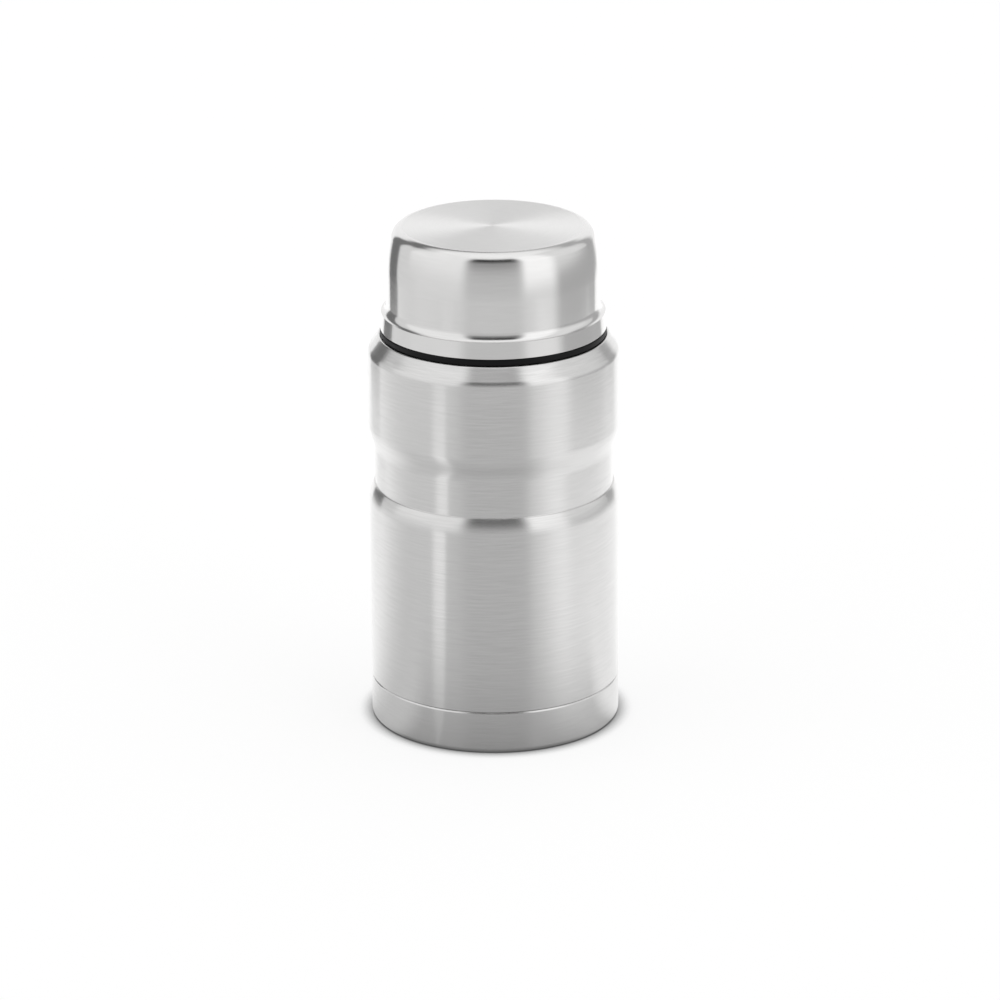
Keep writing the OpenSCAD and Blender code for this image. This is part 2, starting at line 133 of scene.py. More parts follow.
def arc(centre: Point, radius: float, start: float, end: float, steps: int = 12) -> Path:
    """Points of an arc.

    Args:
        centre: Its centre.
        radius: Its radius.
        start: Angle of its first point, in degrees from outwards.
        end: Angle of its last point.
        steps: Pieces that it is cut into.

    Returns:
        The points from start to end.
    """
    turns = [math.radians(start + (end - start) * i / steps) for i in range(steps + 1)]
    return [(centre[0] + radius * math.cos(a), centre[1] + radius * math.sin(a)) for a in turns]


def ease(start: Point, end: Point, steps: int = 24) -> Path:
    """Points of a smooth S-shaped curve that is upright at both ends.

    Args:
        start: Its first point.
        end: Its last point.
        steps: Pieces that it is cut into.

    Returns:
        The points from start to end.
    """
    shares = [i / steps for i in range(steps + 1)]
    return [
        (
            start[0] + (end[0] - start[0]) * (1 - math.cos(math.pi * t)) / 2,
            start[1] + (end[1] - start[1]) * t,
        )
        for t in shares
    ]


def corners(path: Iterable[Point], fillet: float = 0.0) -> list[Corner]:
    """Turns points into corners that all have one fillet."""
    return [Corner(r, z, fillet) for r, z in path]


def rounded(outline: Sequence[Corner], closed: bool = True, steps: int = 5) -> Path:
    """Rounds the corners of an outline.

    Args:
        outline: Its corners in order.
        closed: True if the last corner joins the first.
        steps: Pieces that each fillet is cut into.

    Returns:
        The points of the rounded outline.
    """
    path: Path = []
    count = len(outline)
    for i, corner in enumerate(outline):
        here = Vector((corner.r, corner.z))
        end = not closed and i in (0, count - 1)
        if corner.fillet <= 0 or end:
            path.append((corner.r, corner.z))
            continue
        before, after = outline[i - 1], outline[(i + 1) % count]
        back = Vector((before.r, before.z)) - here
        ahead = Vector((after.r, after.z)) - here
        turn = math.pi - back.angle(ahead)
        reach = corner.fillet * math.tan(turn / 2)
        first = here + back.normalized() * min(reach, 0.48 * back.length)
        last = here + ahead.normalized() * min(reach, 0.48 * ahead.length)
        for k in range(steps + 1):
            t = k / steps
            p = first * (1 - t) ** 2 + here * 2 * t * (1 - t) + last * t**2
            path.append((p.x, p.y))
    return path


def sheet(path: Path, wall: float) -> Path:
    """Closed section of bent sheet.

    Args:
        path: Its outer face, read so that the sheet lies on the left.
        wall: Its thickness.

    Returns:
        The outer face followed by the inner face, read backwards.
    """
    points = [Vector(p) for p in path]
    inner: Path = []
    for i, here in enumerate(points):
        along = [
            (b - a).normalized()
            for a, b in zip(points[max(i - 1, 0) : i + 1], points[max(i, 1) : i + 2])
            if (b - a).length > 1e-9
        ]
        mean = sum(along, Vector((0, 0))).normalized()
        left = Vector((-mean.y, mean.x))
        bend = max(0.5, mean.dot(along[0]))
        moved = here + left * wall / bend
        inner.append((max(0.0, moved.x), moved.y))
    return list(path) + inner[::-1]


# Meshes ----------------------------------------------------------------------


@dataclass
class MeshMaker:
    """Gathers the vertices and faces of one piece, in millimetres."""

    points: list[tuple[float, float, float]] = field(default_factory=list)
    faces: list[tuple[int, ...]] = field(default_factory=list)

    def turn(
        self,
        section: Path,
        segments: int = 192,
        closed: bool = True,
        relief: Callable[[float, float, float], float] | None = None,
    ) -> "MeshMaker":
        """Turns a section round the axis.

        Args:
            section: Its points; one on the axis becomes a single vertex.
            segments: Steps round the axis.
            closed: True if the section's last point joins its first.
            relief: Extra radius at (angle, radius, height), or None.

        Returns:
            The maker itself.
        """
        area = sum(
            a[0] * b[1] - b[0] * a[1] for a, b in zip(section, section[1:] + section[:1])
        )
        section = section if area >= 0 else section[::-1]
        rows: list[list[int]] = []
        for r, z in section:
            if r < 1e-6:
                rows.append([len(self.points)] * segments)
                self.points.append((0.0, 0.0, z))
                continue
            rows.append(list(range(len(self.points), len(self.points) + segments)))
            for j in range(segments):
                a = 2 * math.pi * j / segments
                out = r + (relief(a, r, z) if relief else 0.0)
                self.points.append((out * math.cos(a), out * math.sin(a), z))
        pairs = list(zip(rows, rows[1:] + (rows[:1] if closed else [])))
        for low, high in pairs:
            for j in range(segments):
                k = (j + 1) % segments
                corner = dict.fromkeys((low[j], low[k], high[k], high[j]))
                if len(corner) > 2:
                    self.faces.append(tuple(corner))
        return self

    def sweep(self, sections: Sequence[Sequence[tuple[float, float, float]]]) -> "MeshMaker":
        """Joins equal rings of points into a closed bar with flat ends.

        Args:
            sections: The rings in order, each with the same number of points.

        Returns:
            The maker itself.
        """
        start, count = len(self.points), len(sections[0])
        for ring in sections:
            self.points.extend(ring)
        for i in range(len(sections) - 1):
            for j in range(count):
                a, b = start + i * count + j, start + i * count + (j + 1) % count
                self.faces.append((a, b, b + count, a + count))
        last = start + (len(sections) - 1) * count
        self.faces.append(tuple(range(start, start + count))[::-1])
        self.faces.append(tuple(range(last, last + count)))
        return self

    def piece(
        self,
        name: str,
        body: Body,
        slot: Slot,
        finishes: "Finishes",
        replaces: Sequence[str] = (),
        sharp: float = 35.0,
    ) -> bpy.types.Object:
        """Makes the object, dresses it and hangs it on its body.

        Args:
            name: Name of the piece.
            body: Body that it rides on.
            slot: Record slot that its finish comes from.
            finishes: The jar's materials.
            replaces: Nodes of the frame that it stands for.
            sharp: Angle in degrees above which an edge stays sharp.

        Returns:
            The new object.
        """
        mesh = bpy.data.meshes.new(name)
        mesh.from_pydata([Vector(p) * MM for p in self.points], [], self.faces)
        work = bmesh.new()
        work.from_mesh(mesh)
        bmesh.ops.recalc_face_normals(work, faces=work.faces)
        work.to_mesh(mesh)
        work.free()
        mesh.materials.append(finishes[slot])
        mesh.polygons.foreach_set("use_smooth", [True] * len(mesh.polygons))
        mesh.set_sharp_from_angle(angle=math.radians(sharp))
        thing = bpy.data.objects.new(name, mesh)
        bpy.context.scene.collection.objects.link(thing)
        weight = thing.modifiers.new("even shading", "WEIGHTED_NORMAL")
        weight.keep_sharp = True
        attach(thing, body.value)
        if replaces:
            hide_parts(*replaces)
        LOG.info("%s: %d faces on %s", name, len(mesh.polygons), body.value)
        return thing


@dataclass(frozen=True)
class Thread:
    """The family of helices that every ridge lies on."""

    starts: int = 3
    pitch: float = 4.0
    root: float = 1.5
    crest: float = 0.8
    sink: float = 0.3
    buried: float = 0.1
    bevel: float = 0.15
    bevel_out: float = 0.08
    bevel_in: float = 0.12
    fade: float = 22.5
    step: float = 3.0

    @property
    def lead(self) -> float:
        """Rise in one full turn."""
        return self.starts * self.pitch

    def cut(
        self, maker: MeshMaker, wall: float, crest_r: float, low: float, climb: float, shift: float
    ) -> None:
        """Adds one ridge for each start.

        Args:
            maker: Gathers the ridges.
            wall: Radius of the wall that they stand on.
            crest_r: Radius of their crests, outside or inside the wall.
            low: Height at which they start.
            climb: Height that each one gains.
            shift: Height at which the family passes angle 0.
        """
        side = math.copysign(1.0, crest_r - wall)
        sweep = 360 * climb / self.lead
        steps = math.ceil(sweep / self.step)
        for start in range(self.starts):
            turn = 360 * (low - shift) / self.lead + 360 * start / self.starts
            rings = []
            for i in range(steps + 1):
                at = sweep * i / steps
                full = min(1.0, at / self.fade, (sweep - at) / self.fade)
                full = full * full * (3 - 2 * full)
                foot = wall - side * self.buried
                top = foot + (crest_r - foot) * full
                shoulder = top - side * self.bevel * full
                root_r = wall - side * self.sink
                half, flat = self.root / 2, self.crest / 2
                low_out, high_out = flat - self.bevel_in, flat + self.bevel_out
                mid = low + self.lead * at / 360
                edge = [
                    (root_r, -half), (shoulder, -high_out), (top, -low_out),
                    (top, low_out), (shoulder, high_out), (root_r, half),
                ]
                a = math.radians(turn + at)
                rings.append([(r * math.cos(a), r * math.sin(a), mid + z) for r, z in edge])
            maker.sweep(rings)


# Shader trees ----------------------------------------------------------------


class Bench:
    """Adds nodes to one shader tree and wires them up."""

    def __init__(self, tree: bpy.types.NodeTree) -> None:
        """Keeps the tree that is worked on."""
        self.tree = tree

    def add(self, kind: str, **settings: object) -> bpy.types.Node:
        """Adds a node and sets its properties."""
        node = self.tree.nodes.new(kind)
        for key, value in settings.items():
            setattr(node, key, value)
        return node

    def feed(self, into: Socket, value: object) -> None:
        """Links a socket to an input, or sets a plain value on it."""
        if isinstance(value, bpy.types.NodeSocket):
            self.tree.links.new(value, into)
        elif value is not None:
            into.default_value = value

    def math(self, operation: str, *values: object, clamp: bool = False) -> Socket:
        """Adds a Math node on up to three values and returns its result."""
        node = self.add("ShaderNodeMath", operation=operation, use_clamp=clamp)
        for into, value in zip(node.inputs, values):
            self.feed(into, value)
        return node.outputs[0]

    def ramp(
        self, value: object, low: float, high: float, to_low: float = 0.0, to_high: float = 1.0
    ) -> Socket:
        """Maps a value smoothly from one span to another, clamped at its ends.

        Args:
            value: Socket or number that is mapped.
            low: Value that gives to_low.
            high: Value that gives to_high.
            to_low: Result at low.
            to_high: Result at high.

        Returns:
            The mapped value.
        """
        node = self.add("ShaderNodeMapRange", interpolation_type="SMOOTHSTEP")
        for into, given in zip(node.inputs, (value, low, high, to_low, to_high)):
            self.feed(into, given)
        return node.outputs[0]

    def mix(self, share: object, first: object, second: object) -> Socket:
        """Mixes two colours."""
        node = self.add("ShaderNodeMix", data_type="RGBA")
        self.feed(node.inputs[0], share)
        self.feed(node.inputs[6], first)
        self.feed(node.inputs[7], second)
        return node.outputs[2]

    def vector(self, x: object, y: object, z: object) -> Socket:
        """Joins three values into a vector."""
        node = self.add("ShaderNodeCombineXYZ")
        for into, value in zip(node.inputs, (x, y, z)):
            self.feed(into, value)
        return node.outputs[0]

    def split(self, vector: Socket) -> tuple[Socket, ...]:
        """Splits a vector into its three values."""
        node = self.add("ShaderNodeSeparateXYZ")
        self.feed(node.inputs[0], vector)
        return tuple(node.outputs)

    def coordinates(self, kind: str) -> Socket:
        """Texture coordinates of one kind."""
        return self.add("ShaderNodeTexCoord").outputs[kind]

    def radius(self, x: Socket, y: Socket) -> Socket:
        """Distance from the axis."""
        squares = (self.math("MULTIPLY", side, side) for side in (x, y))
        return self.math("SQRT", self.math("ADD", *squares))

    def azimuth(self, x: Socket, ahead: Socket) -> Socket:
        """Angle in degrees to the right of straight ahead."""
        return self.math("DEGREES", self.math("ARCTAN2", x, ahead))

    def seen(self, path: bpy.types.Node) -> Socket:
        """1 for rays that come from the camera, also through clear pieces."""
        return self.math(
            "MAXIMUM", path.outputs["Is Camera Ray"], path.outputs["Is Transmission Ray"]
        )

    def noise(self, place: object, scale: object, detail: float, rough: float) -> Socket:
        """Adds a noise texture and returns its value from 0 to 1."""
        node = self.add("ShaderNodeTexNoise")
        wanted = {"Vector": place, "Scale": scale, "Detail": detail, "Roughness": rough}
        for name, value in wanted.items():
            self.feed(node.inputs[name], value)
        return node.outputs[0]

    def emboss(self, shader: bpy.types.Node, height: Socket, depth: float) -> None:
        """Bumps a shader's surface by a height of 0 to 1.

        Args:
            shader: Its Principled shader.
            height: The height's socket.
            depth: Millimetres that the height's 1 stands for.
        """
        bump = self.add("ShaderNodeBump")
        bump.inputs["Strength"].default_value = 1.0
        bump.inputs["Distance"].default_value = depth * MM
        self.feed(bump.inputs["Height"], height)
        self.feed(shader.inputs["Normal"], bump.outputs[0])

    def group(self, tree: bpy.types.NodeTree, **values: object) -> bpy.types.Node:
        """Places an effect's node group and feeds its inputs by name."""
        node = self.add("ShaderNodeGroup", node_tree=tree)
        for name, value in values.items():
            self.feed(node.inputs[name], value)
        return node


class Effect:
    """Shader node groups, each built once and used by several materials."""

    @staticmethod
    def start(
        name: str, inputs: dict[str, float], outputs: Sequence[str]
    ) -> tuple[Bench, bpy.types.Node, bpy.types.Node]:
        """Opens a new group.

        Args:
            name: Its name.
            inputs: Names and plain values of its inputs.
            outputs: Names of its outputs.

        Returns:
            A bench on the group, its input node and its output node.
        """
        tree = bpy.data.node_groups.new(name, "ShaderNodeTree")
        for key, value in inputs.items():
            made = tree.interface.new_socket(key, in_out="INPUT", socket_type="NodeSocketFloat")
            made.default_value = value
        for key in outputs:
            tree.interface.new_socket(key, in_out="OUTPUT", socket_type="NodeSocketFloat")
        bench = Bench(tree)
        return bench, bench.add("NodeGroupInput"), bench.add("NodeGroupOutput")

    @staticmethod
    @cache
    def brushing() -> bpy.types.NodeTree:
        """Fine lines that run round the axis, on walls and on flat ends alike."""
        inputs = {"Lines": 6.0, "Length": 30.0}
        bench, given, out = Effect.start("brushing", inputs, ("Fine", "Broad"))
        x, y, z = bench.split(bench.coordinates("Object"))
        radius = bench.radius(x, y)
        off_axis = bench.math("MAXIMUM", radius, 1e-5)
        round_x, round_y = (bench.math("DIVIDE", side, off_axis) for side in (x, y))
        # One turn is cut into strokes; each stroke has its own depth
        strokes = bench.math("DIVIDE", 50.0, given.outputs["Length"])
        across = bench.math("MULTIPLY", bench.math("ADD", z, radius), PER_METRE)
        lined = bench.math("MULTIPLY", across, given.outputs["Lines"])
        for name, fineness, reach, detail in (("Fine", 1.0, 1.0, 2.0), ("Broad", 0.35, 0.8, 1.0)):
            along = bench.math("MULTIPLY", strokes, reach)
            place = bench.vector(
                bench.math("MULTIPLY", round_x, along),
                bench.math("MULTIPLY", round_y, along),
                bench.math("MULTIPLY", lined, fineness),
            )
            bench.feed(out.inputs[name], bench.noise(place, 1.0, detail, 0.6))
        return bench.tree

    @staticmethod
    @cache
    def handling() -> bpy.types.NodeTree:
        """Faint marks that hands and cloths leave on a surface."""
        bench, given, out = Effect.start("handling", {"Size": 25.0}, ("Marks",))
        scale = bench.math("DIVIDE", PER_METRE, given.outputs["Size"])
        large = bench.noise(bench.coordinates("Object"), scale, 3.0, 0.55)
        bench.feed(out.inputs["Marks"], bench.ramp(large, 0.35, 0.7))
        return bench.tree

    @staticmethod
    @cache
    def moulding() -> bpy.types.NodeTree:
        """Fine spark-eroded texture of a mould, with a slow flow in its gloss."""
        inputs = {"Grain": 0.25, "Flow": 18.0}
        bench, given, out = Effect.start("moulding", inputs, ("Height", "Gloss"))
        place = bench.coordinates("Object")
        for name, size, detail, rough in (("Height", "Grain", 3.0, 0.6), ("Gloss", "Flow", 2.0, 0.5)):
            scale = bench.math("DIVIDE", PER_METRE, given.outputs[size])
            bench.feed(out.inputs[name], bench.noise(place, scale, detail, rough))
        return bench.tree


# Finishes --------------------------------------------------------------------


def blank(name: str) -> tuple[bpy.types.Material, Bench, bpy.types.Node]:
    """Opens a new material.

    Args:
        name: Its name.

    Returns:
        The material, a bench on its tree and its Principled shader.
    """
    made = bpy.data.materials.new(name)
    made.use_nodes = True
    bench = Bench(made.node_tree)
    shader = next(n for n in made.node_tree.nodes if n.type == "BSDF_PRINCIPLED")
    return made, bench, shader


def grey(level: float, warmth: float = 0.0) -> tuple[float, float, float, float]:
    """A near neutral colour; warmth lifts red and lowers blue."""
    return (level * (1 + warmth), level, level * (1 - warmth), 1.0)


@dataclass(frozen=True)
class BrushedSteel:
    """Steel that is brushed round its axis."""

    name: str
    tone: float = 0.66
    warmth: float = 0.006
    roughness: float = 0.23
    end_roughness: float = 0.23
    anisotropy: float = 0.944
    rotation: float = 0.25
    lines: float = 5.0
    stroke: float = 12.0
    line_tone: float = 0.035
    line_rough: float = 0.08
    line_depth: float = 0.001
    broad_share: float = 0.25
    end_facing: tuple[float, float] = (0.997, 0.9997)
    marks: float = 0.012

    def material(self) -> bpy.types.Material:
        """Builds the material."""
        made, bench, shader = blank(self.name)
        lines = bench.group(Effect.brushing(), Lines=self.lines, Length=self.stroke)
        marks = bench.group(Effect.handling(), Size=30.0)
        fine, broad = lines.outputs["Fine"], lines.outputs["Broad"]
        fine_part = bench.math("MULTIPLY", fine, 1 - self.broad_share)
        both = bench.math("MULTIPLY_ADD", broad, self.broad_share, fine_part)
        share = bench.ramp(both, 0.3, 0.7)
        dark, light = (grey(self.tone * (1 + way * self.line_tone), self.warmth) for way in (-1, 1))
        bench.feed(shader.inputs["Base Color"], bench.mix(share, dark, light))
        upwards = bench.math("ABSOLUTE", bench.split(bench.coordinates("Normal"))[2])
        end = bench.ramp(upwards, *self.end_facing)
        base = bench.math("MULTIPLY_ADD", end, self.end_roughness - self.roughness, self.roughness)
        gain = bench.math("MULTIPLY_ADD", share, -2 * self.line_rough, 1 + self.line_rough)
        lined = bench.math("MULTIPLY", base, gain)
        handled = bench.math("MULTIPLY_ADD", marks.outputs["Marks"], self.marks, lined)
        bench.feed(shader.inputs["Roughness"], handled)
        bench.emboss(shader, fine, self.line_depth)
        tangent = bench.add("ShaderNodeTangent", direction_type="RADIAL", axis="Z")
        bench.feed(shader.inputs["Tangent"], tangent.outputs[0])
        shader.inputs["Metallic"].default_value = 1.0
        shader.inputs["Anisotropic"].default_value = self.anisotropy
        shader.inputs["Anisotropic Rotation"].default_value = self.rotation
        return made


@dataclass(frozen=True)
class PlainMetal:
    """Metal without a brushed grain, such as rolled strip, wire or foil."""

    name: str
    colour: tuple[float, float, float]
    roughness: float = 0.25
    grain: float = 0.4
    relief: float = 0.01
    wear: float = 0.82
    flow: float = 0.3

    def material(self) -> bpy.types.Material:
        """Builds the material."""
        made, bench, shader = blank(self.name)
        texture = bench.group(Effect.moulding(), Grain=self.grain, Flow=12.0)
        marks = bench.group(Effect.handling(), Size=14.0)
        clean, worn = (tuple(share * c for c in self.colour) + (1.0,) for share in (1.0, self.wear))
        bench.feed(shader.inputs["Base Color"], bench.mix(marks.outputs["Marks"], clean, worn))
        gloss, swing = texture.outputs["Gloss"], self.flow * self.roughness
        rough = bench.math("MULTIPLY_ADD", gloss, swing, self.roughness - swing / 2)
        bench.feed(shader.inputs["Roughness"], rough)
        bench.emboss(shader, texture.outputs["Height"], self.relief)
        shader.inputs["Metallic"].default_value = 1.0
        return made


@dataclass(frozen=True)
class Moulded:
    """Moulded plastic, rubber or foam."""

    name: str
    colour: tuple[float, float, float]
    roughness: float = 0.5
    grain: float = 0.25
    relief: float = 0.02
    mottle: float = 0.1
    sheen: float = 0.0
    specular: float = 0.5
    clear: float = 0.0

    def material(self) -> bpy.types.Material:
        """Builds the material."""
        made, bench, shader = blank(self.name)
        texture = bench.group(Effect.moulding(), Grain=self.grain, Flow=18.0)
        marks = bench.group(Effect.handling(), Size=16.0)
        deep, pale = (
            tuple(c * (1 + way * self.mottle) for c in self.colour) + (1.0,) for way in (-1, 1)
        )
        bench.feed(shader.inputs["Base Color"], bench.mix(texture.outputs["Gloss"], deep, pale))
        wear, grain = 0.06, 0.08
        worn = bench.math("MULTIPLY_ADD", marks.outputs["Marks"], wear, self.roughness - wear / 2)
        grained = bench.math("MULTIPLY_ADD", texture.outputs["Height"], grain, worn)
        bench.feed(shader.inputs["Roughness"], grained)
        bench.emboss(shader, texture.outputs["Height"], self.relief)
        shader.inputs["Sheen Weight"].default_value = self.sheen
        shader.inputs["Specular IOR Level"].default_value = self.specular
        shader.inputs["Transmission Weight"].default_value = self.clear
        return made


class Finishes:
    """The jar's materials, each made once when it is first asked for."""

    RECIPES: dict[Slot, BrushedSteel | PlainMetal | Moulded] = {
        Slot.BODY_STEEL: BrushedSteel("brushed body steel"),
        Slot.CUP_STEEL: BrushedSteel(
            "fine brushed cup steel", tone=0.71, roughness=0.17, end_roughness=0.31, anisotropy=0.8,
            lines=7.0, line_tone=0.02, line_depth=0.0006,
        ),
        Slot.LINER_STEEL: BrushedSteel(
            "satin liner steel", tone=0.68, roughness=0.3, end_roughness=0.3, anisotropy=0.3,
            lines=4.0, line_tone=0.03, line_depth=0.001,
        ),
        Slot.PLAIN_STEEL: PlainMetal("rolled steel", (0.6, 0.6, 0.59), 0.32),
        Slot.SPRING_STEEL: PlainMetal("drawn wire", (0.68, 0.68, 0.69), 0.18),
        Slot.COPPER_FOIL: PlainMetal("copper foil", (0.78, 0.42, 0.28), 0.22, 2.5, 0.12),
        Slot.SEALING_GLASS: Moulded(
            "fused glass", (0.5, 0.32, 0.12), 0.12, 1.2, 0.01, 0.15, clear=0.35
        ),
        Slot.GETTER: PlainMetal("sintered getter", (0.3, 0.32, 0.31), 0.6, 0.3, 0.04),
        Slot.BLACK_PLASTIC: Moulded(
            "black moulded plastic", (0.0055, 0.0055, 0.006), 0.42, specular=0.14
        ),
        Slot.BUTTON_PLASTIC: Moulded("satin button plastic", (0.1, 0.1, 0.105), 0.3, 0.3, 0.008),
        Slot.SILICONE: Moulded("matt silicone", (0.4, 0.4, 0.39), 0.6, 0.2, 0.012, 0.06, sheen=0.25),
        Slot.FOAM: Moulded("rigid foam", (0.85, 0.78, 0.55), 0.85, 0.6, 0.12, 0.08, sheen=0.1),
    }

    def __init__(self) -> None:
        """Starts with no material made."""
        self._made: dict[Slot, bpy.types.Material] = {}

    def __getitem__(self, slot: Slot) -> bpy.types.Material:
        """Returns the material of a slot."""
        if slot not in self._made:
            self._made[slot] = self.RECIPES[slot].material()
        return self._made[slot]


# Sub-assemblies --------------------------------------------------------------


@dataclass
class JarBody:
    """Outer walls, vacuum space, liner and neck of the jar."""

    finishes: Finishes
    thread: Thread
    fit: float = 0.05
    wall: float = 0.5
    waist_depth: float = 2.35
    waist_round: float = 7.2
    waist_lean: float = 30.0
    lower_height: float = 73.2
    waist_height: float = 14.6
    waist_rise: float = 10.8
    upper_height: float = 30.4
    shoulder_height: float = 5.3
    shoulder_round: float = 4.6
    lip: float = 0.7
    lip_r: float = 45.3
    neck_r: float = 35.0
    ledge_drop: float = 1.5
    seam: float = 1.2
    seam_round: float = 0.1
    seam_edge: float = 1.1
    seam_gap: float = 0.2
    spigot_step: float = 11.0
    spigot_inset: float = 0.25
    recess: float = 2.5
    foot_width: float = 5.0
    plate_hole: float = 0.8
    plate_dish: tuple[float, float] = (6.0, 7.5)
    base_edge: float = 2.0
    liner_wall: float = 0.4
    liner_edge: float = 8.0
    liner_r: float = 43.8
    liner_shoulder: float = 142.0
    throat_r: float = 33.9
    throat_z: float = 153.0
    foil: float = 0.15
    foil_slit: float = 3.0
    foil_crinkle: float = 0.03
    getter_rim: tuple[float, float] = (1.2, 1.6)
    getter_sink: float = 0.3
    strap: float = 0.3
    thread_inset: float = 1.6
    neck_climb: float = 7.2
    thread_wall: float = 0.5
    thread_bite: float = 1.0

    def outer_shell(self) -> None:
        """Builds the outer wall from the spigot under the seam to the neck."""
        shell = Solid.of("outer_shell")
        base_top = Solid.of("base_cup").top + self.seam / 2
        outer, waist = shell.radius, shell.radius - self.waist_depth
        spigot = outer - self.wall - self.fit
        low_top = base_top + self.lower_height
        rise = low_top + self.waist_round + self.waist_height
        rise_top = rise + self.waist_rise
        shoulder = rise_top + self.upper_height
        lip_z = shoulder + self.shoulder_height
        ledge = lip_z + self.lip - self.ledge_drop
        outline = [
            Corner(spigot, shell.bottom),
            Corner(spigot, self.spigot_step, 1.0),
            Corner(spigot - self.spigot_inset, self.spigot_step + 1, 1.0),
            Corner(spigot - self.spigot_inset, base_top - self.seam / 2 + self.seam_gap, 0.1),
            Corner(outer, base_top - self.seam / 2 + self.seam_gap, self.seam_round),
        ]
        # The wall curls in to the waist and stops short of it at a small step
        curl = self.waist_round / math.sin(math.radians(self.waist_lean))
        outline += corners(arc((outer - curl, low_top), curl, 0, self.waist_lean, 24))
        outline.append(Corner(waist, low_top + self.waist_round, 0.3))
        outline += corners(ease((waist, rise), (outer, rise_top)))
        outline.append(Corner(outer, shoulder, self.shoulder_round))
        outline += corners(arc((self.lip_r, lip_z), self.lip, 30, 180, 12))
        outline += [
            Corner(self.lip_r - self.lip, ledge, 0.5),
            Corner(self.neck_r, ledge, 0.6),
            Corner(self.neck_r, shell.top),
        ]
        path = rounded(outline, closed=False, steps=10)
        MeshMaker().turn(sheet(path, self.wall), 384).piece(
            "outer_wall", Body.JAR, Slot.BODY_STEEL, self.finishes, ["outer_shell"]
        )

    def base(self) -> None:
        """Builds the pressed cup under the seam, with the ring that the jar stands on."""
        cup = Solid.of("base_cup")
        foot_out = cup.radius - self.base_edge
        foot_in = foot_out - self.foot_width
        outline = [
            Corner(0, self.recess),
            Corner(foot_in - self.recess, self.recess, 1.2),
            Corner(foot_in, 0, 0.8),
        ]
        outline += corners(arc((foot_out, self.base_edge), self.base_edge, -90, 0))
        edge = self.seam_edge
        rise = edge * math.sin(math.radians(60))
        outline += corners(arc((cup.radius - edge, cup.top - rise), edge, 0, 60, 10))
        path = rounded(outline, closed=False, steps=6)
        MeshMaker().turn(sheet(path, self.wall), 384, closed=False).piece(
            "base_cup_wall", Body.JAR, Slot.BODY_STEEL, self.finishes, ["base_cup"]
        )

    def base_plate(self) -> None:
        """Builds the plate that closes the vacuum space, and the bead over its hole."""
        plate = Solid.of("base_plate")
        bead = Solid.of("sealing_bead")
        outline = [
            Corner(self.plate_hole, bead.top),
            Corner(self.plate_dish[0], bead.top, 0.8),
            Corner(self.plate_dish[1], bead.bottom, 0.8),
            Corner(plate.radius, bead.bottom, 0.6),
            Corner(plate.radius, plate.bottom),
        ]
        path = rounded(outline, closed=False)
        MeshMaker().turn(sheet(path, self.wall)).piece(
            "vacuum_plate", Body.JAR, Slot.PLAIN_STEEL, self.finishes, ["base_plate"]
        )
        drop = [
            Corner(0, bead.bottom), Corner(bead.radius, bead.bottom, 1.2),
            Corner(bead.radius, bead.top, 0.2), Corner(0, bead.top),
        ]
        MeshMaker().turn(rounded(drop, closed=False), 96, closed=False).piece(
            "evacuation_bead", Body.JAR, Slot.SEALING_GLASS, self.finishes, ["sealing_bead"]
        )

    def liner(self) -> None:
        """Builds the inner vessel up to its fold over the neck."""
        liner = Solid.of("inner_liner")
        neck_top = Solid.of("outer_shell").top
        outline = [Corner(0, liner.bottom)]
        corner = (self.liner_r - self.liner_edge, liner.bottom + self.liner_edge)
        outline += corners(arc(corner, self.liner_edge, -90, 0))
        shoulder, throat = (self.liner_r, self.liner_shoulder), (self.throat_r, self.throat_z)
        outline += corners(ease(shoulder, throat))
        outline += [Corner(self.throat_r, neck_top, 0.12), Corner(self.neck_r, neck_top)]
        path = rounded(outline, closed=False)
        MeshMaker().turn(sheet(path, self.liner_wall), 256, closed=False).piece(
            "food_liner", Body.JAR, Slot.LINER_STEEL, self.finishes, ["inner_liner"], sharp=50
        )

    def vacuum_space(self) -> None:
        """Builds the foil round the liner, and the getter with its strap."""
        foil = Solid.of("radiation_foil")
        inner = foil.radius - self.foil
        gap = math.degrees(self.foil_slit / 2 / foil.radius)
        heights = [foil.bottom + (foil.top - foil.bottom) * i / 48 for i in range(49)]
        deep = self.foil_crinkle
        rings = []
        for i in range(145):
            a = math.radians(gap + (360 - 2 * gap) * i / 144)
            # Two waves of unlike lengths, so the crinkle doesn't repeat
            crinkle = [
                deep * math.sin(7.3 * a + z / 5.1) * math.sin(13.1 * a - z / 3.7) for z in heights
            ]
            outside = [(foil.radius - deep + c, z) for c, z in zip(crinkle, heights)]
            inside = [(inner + deep + c, z) for c, z in zip(crinkle, heights)]
            rings.append([(r * math.cos(a), r * math.sin(a), z) for r, z in outside + inside[::-1]])
        MeshMaker().sweep(rings).piece(
            "liner_foil", Body.JAR, Slot.COPPER_FOIL, self.finishes, ["radiation_foil"]
        )
        low, high = (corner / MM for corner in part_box("getter_capsule"))
        centre, radius = (low + high) / 2, (high.x - low.x) / 2
        edge, sunk = self.getter_rim, high.z - self.getter_sink
        dish = [
            Corner(0, low.z), Corner(radius, low.z, 0.4), Corner(radius, high.z, 0.5),
            Corner(radius - edge[0], high.z, 0.2), Corner(radius - edge[1], sunk, 0.2),
            Corner(0, sunk),
        ]
        capsule = MeshMaker().turn(rounded(dish, closed=False), 96, closed=False)
        capsule.points = [(x + centre.x, y, z) for x, y, z in capsule.points]
        capsule.piece("getter_pill", Body.JAR, Slot.GETTER, self.finishes, ["getter_capsule"])
        self._strap(centre.x, radius + self.fit)

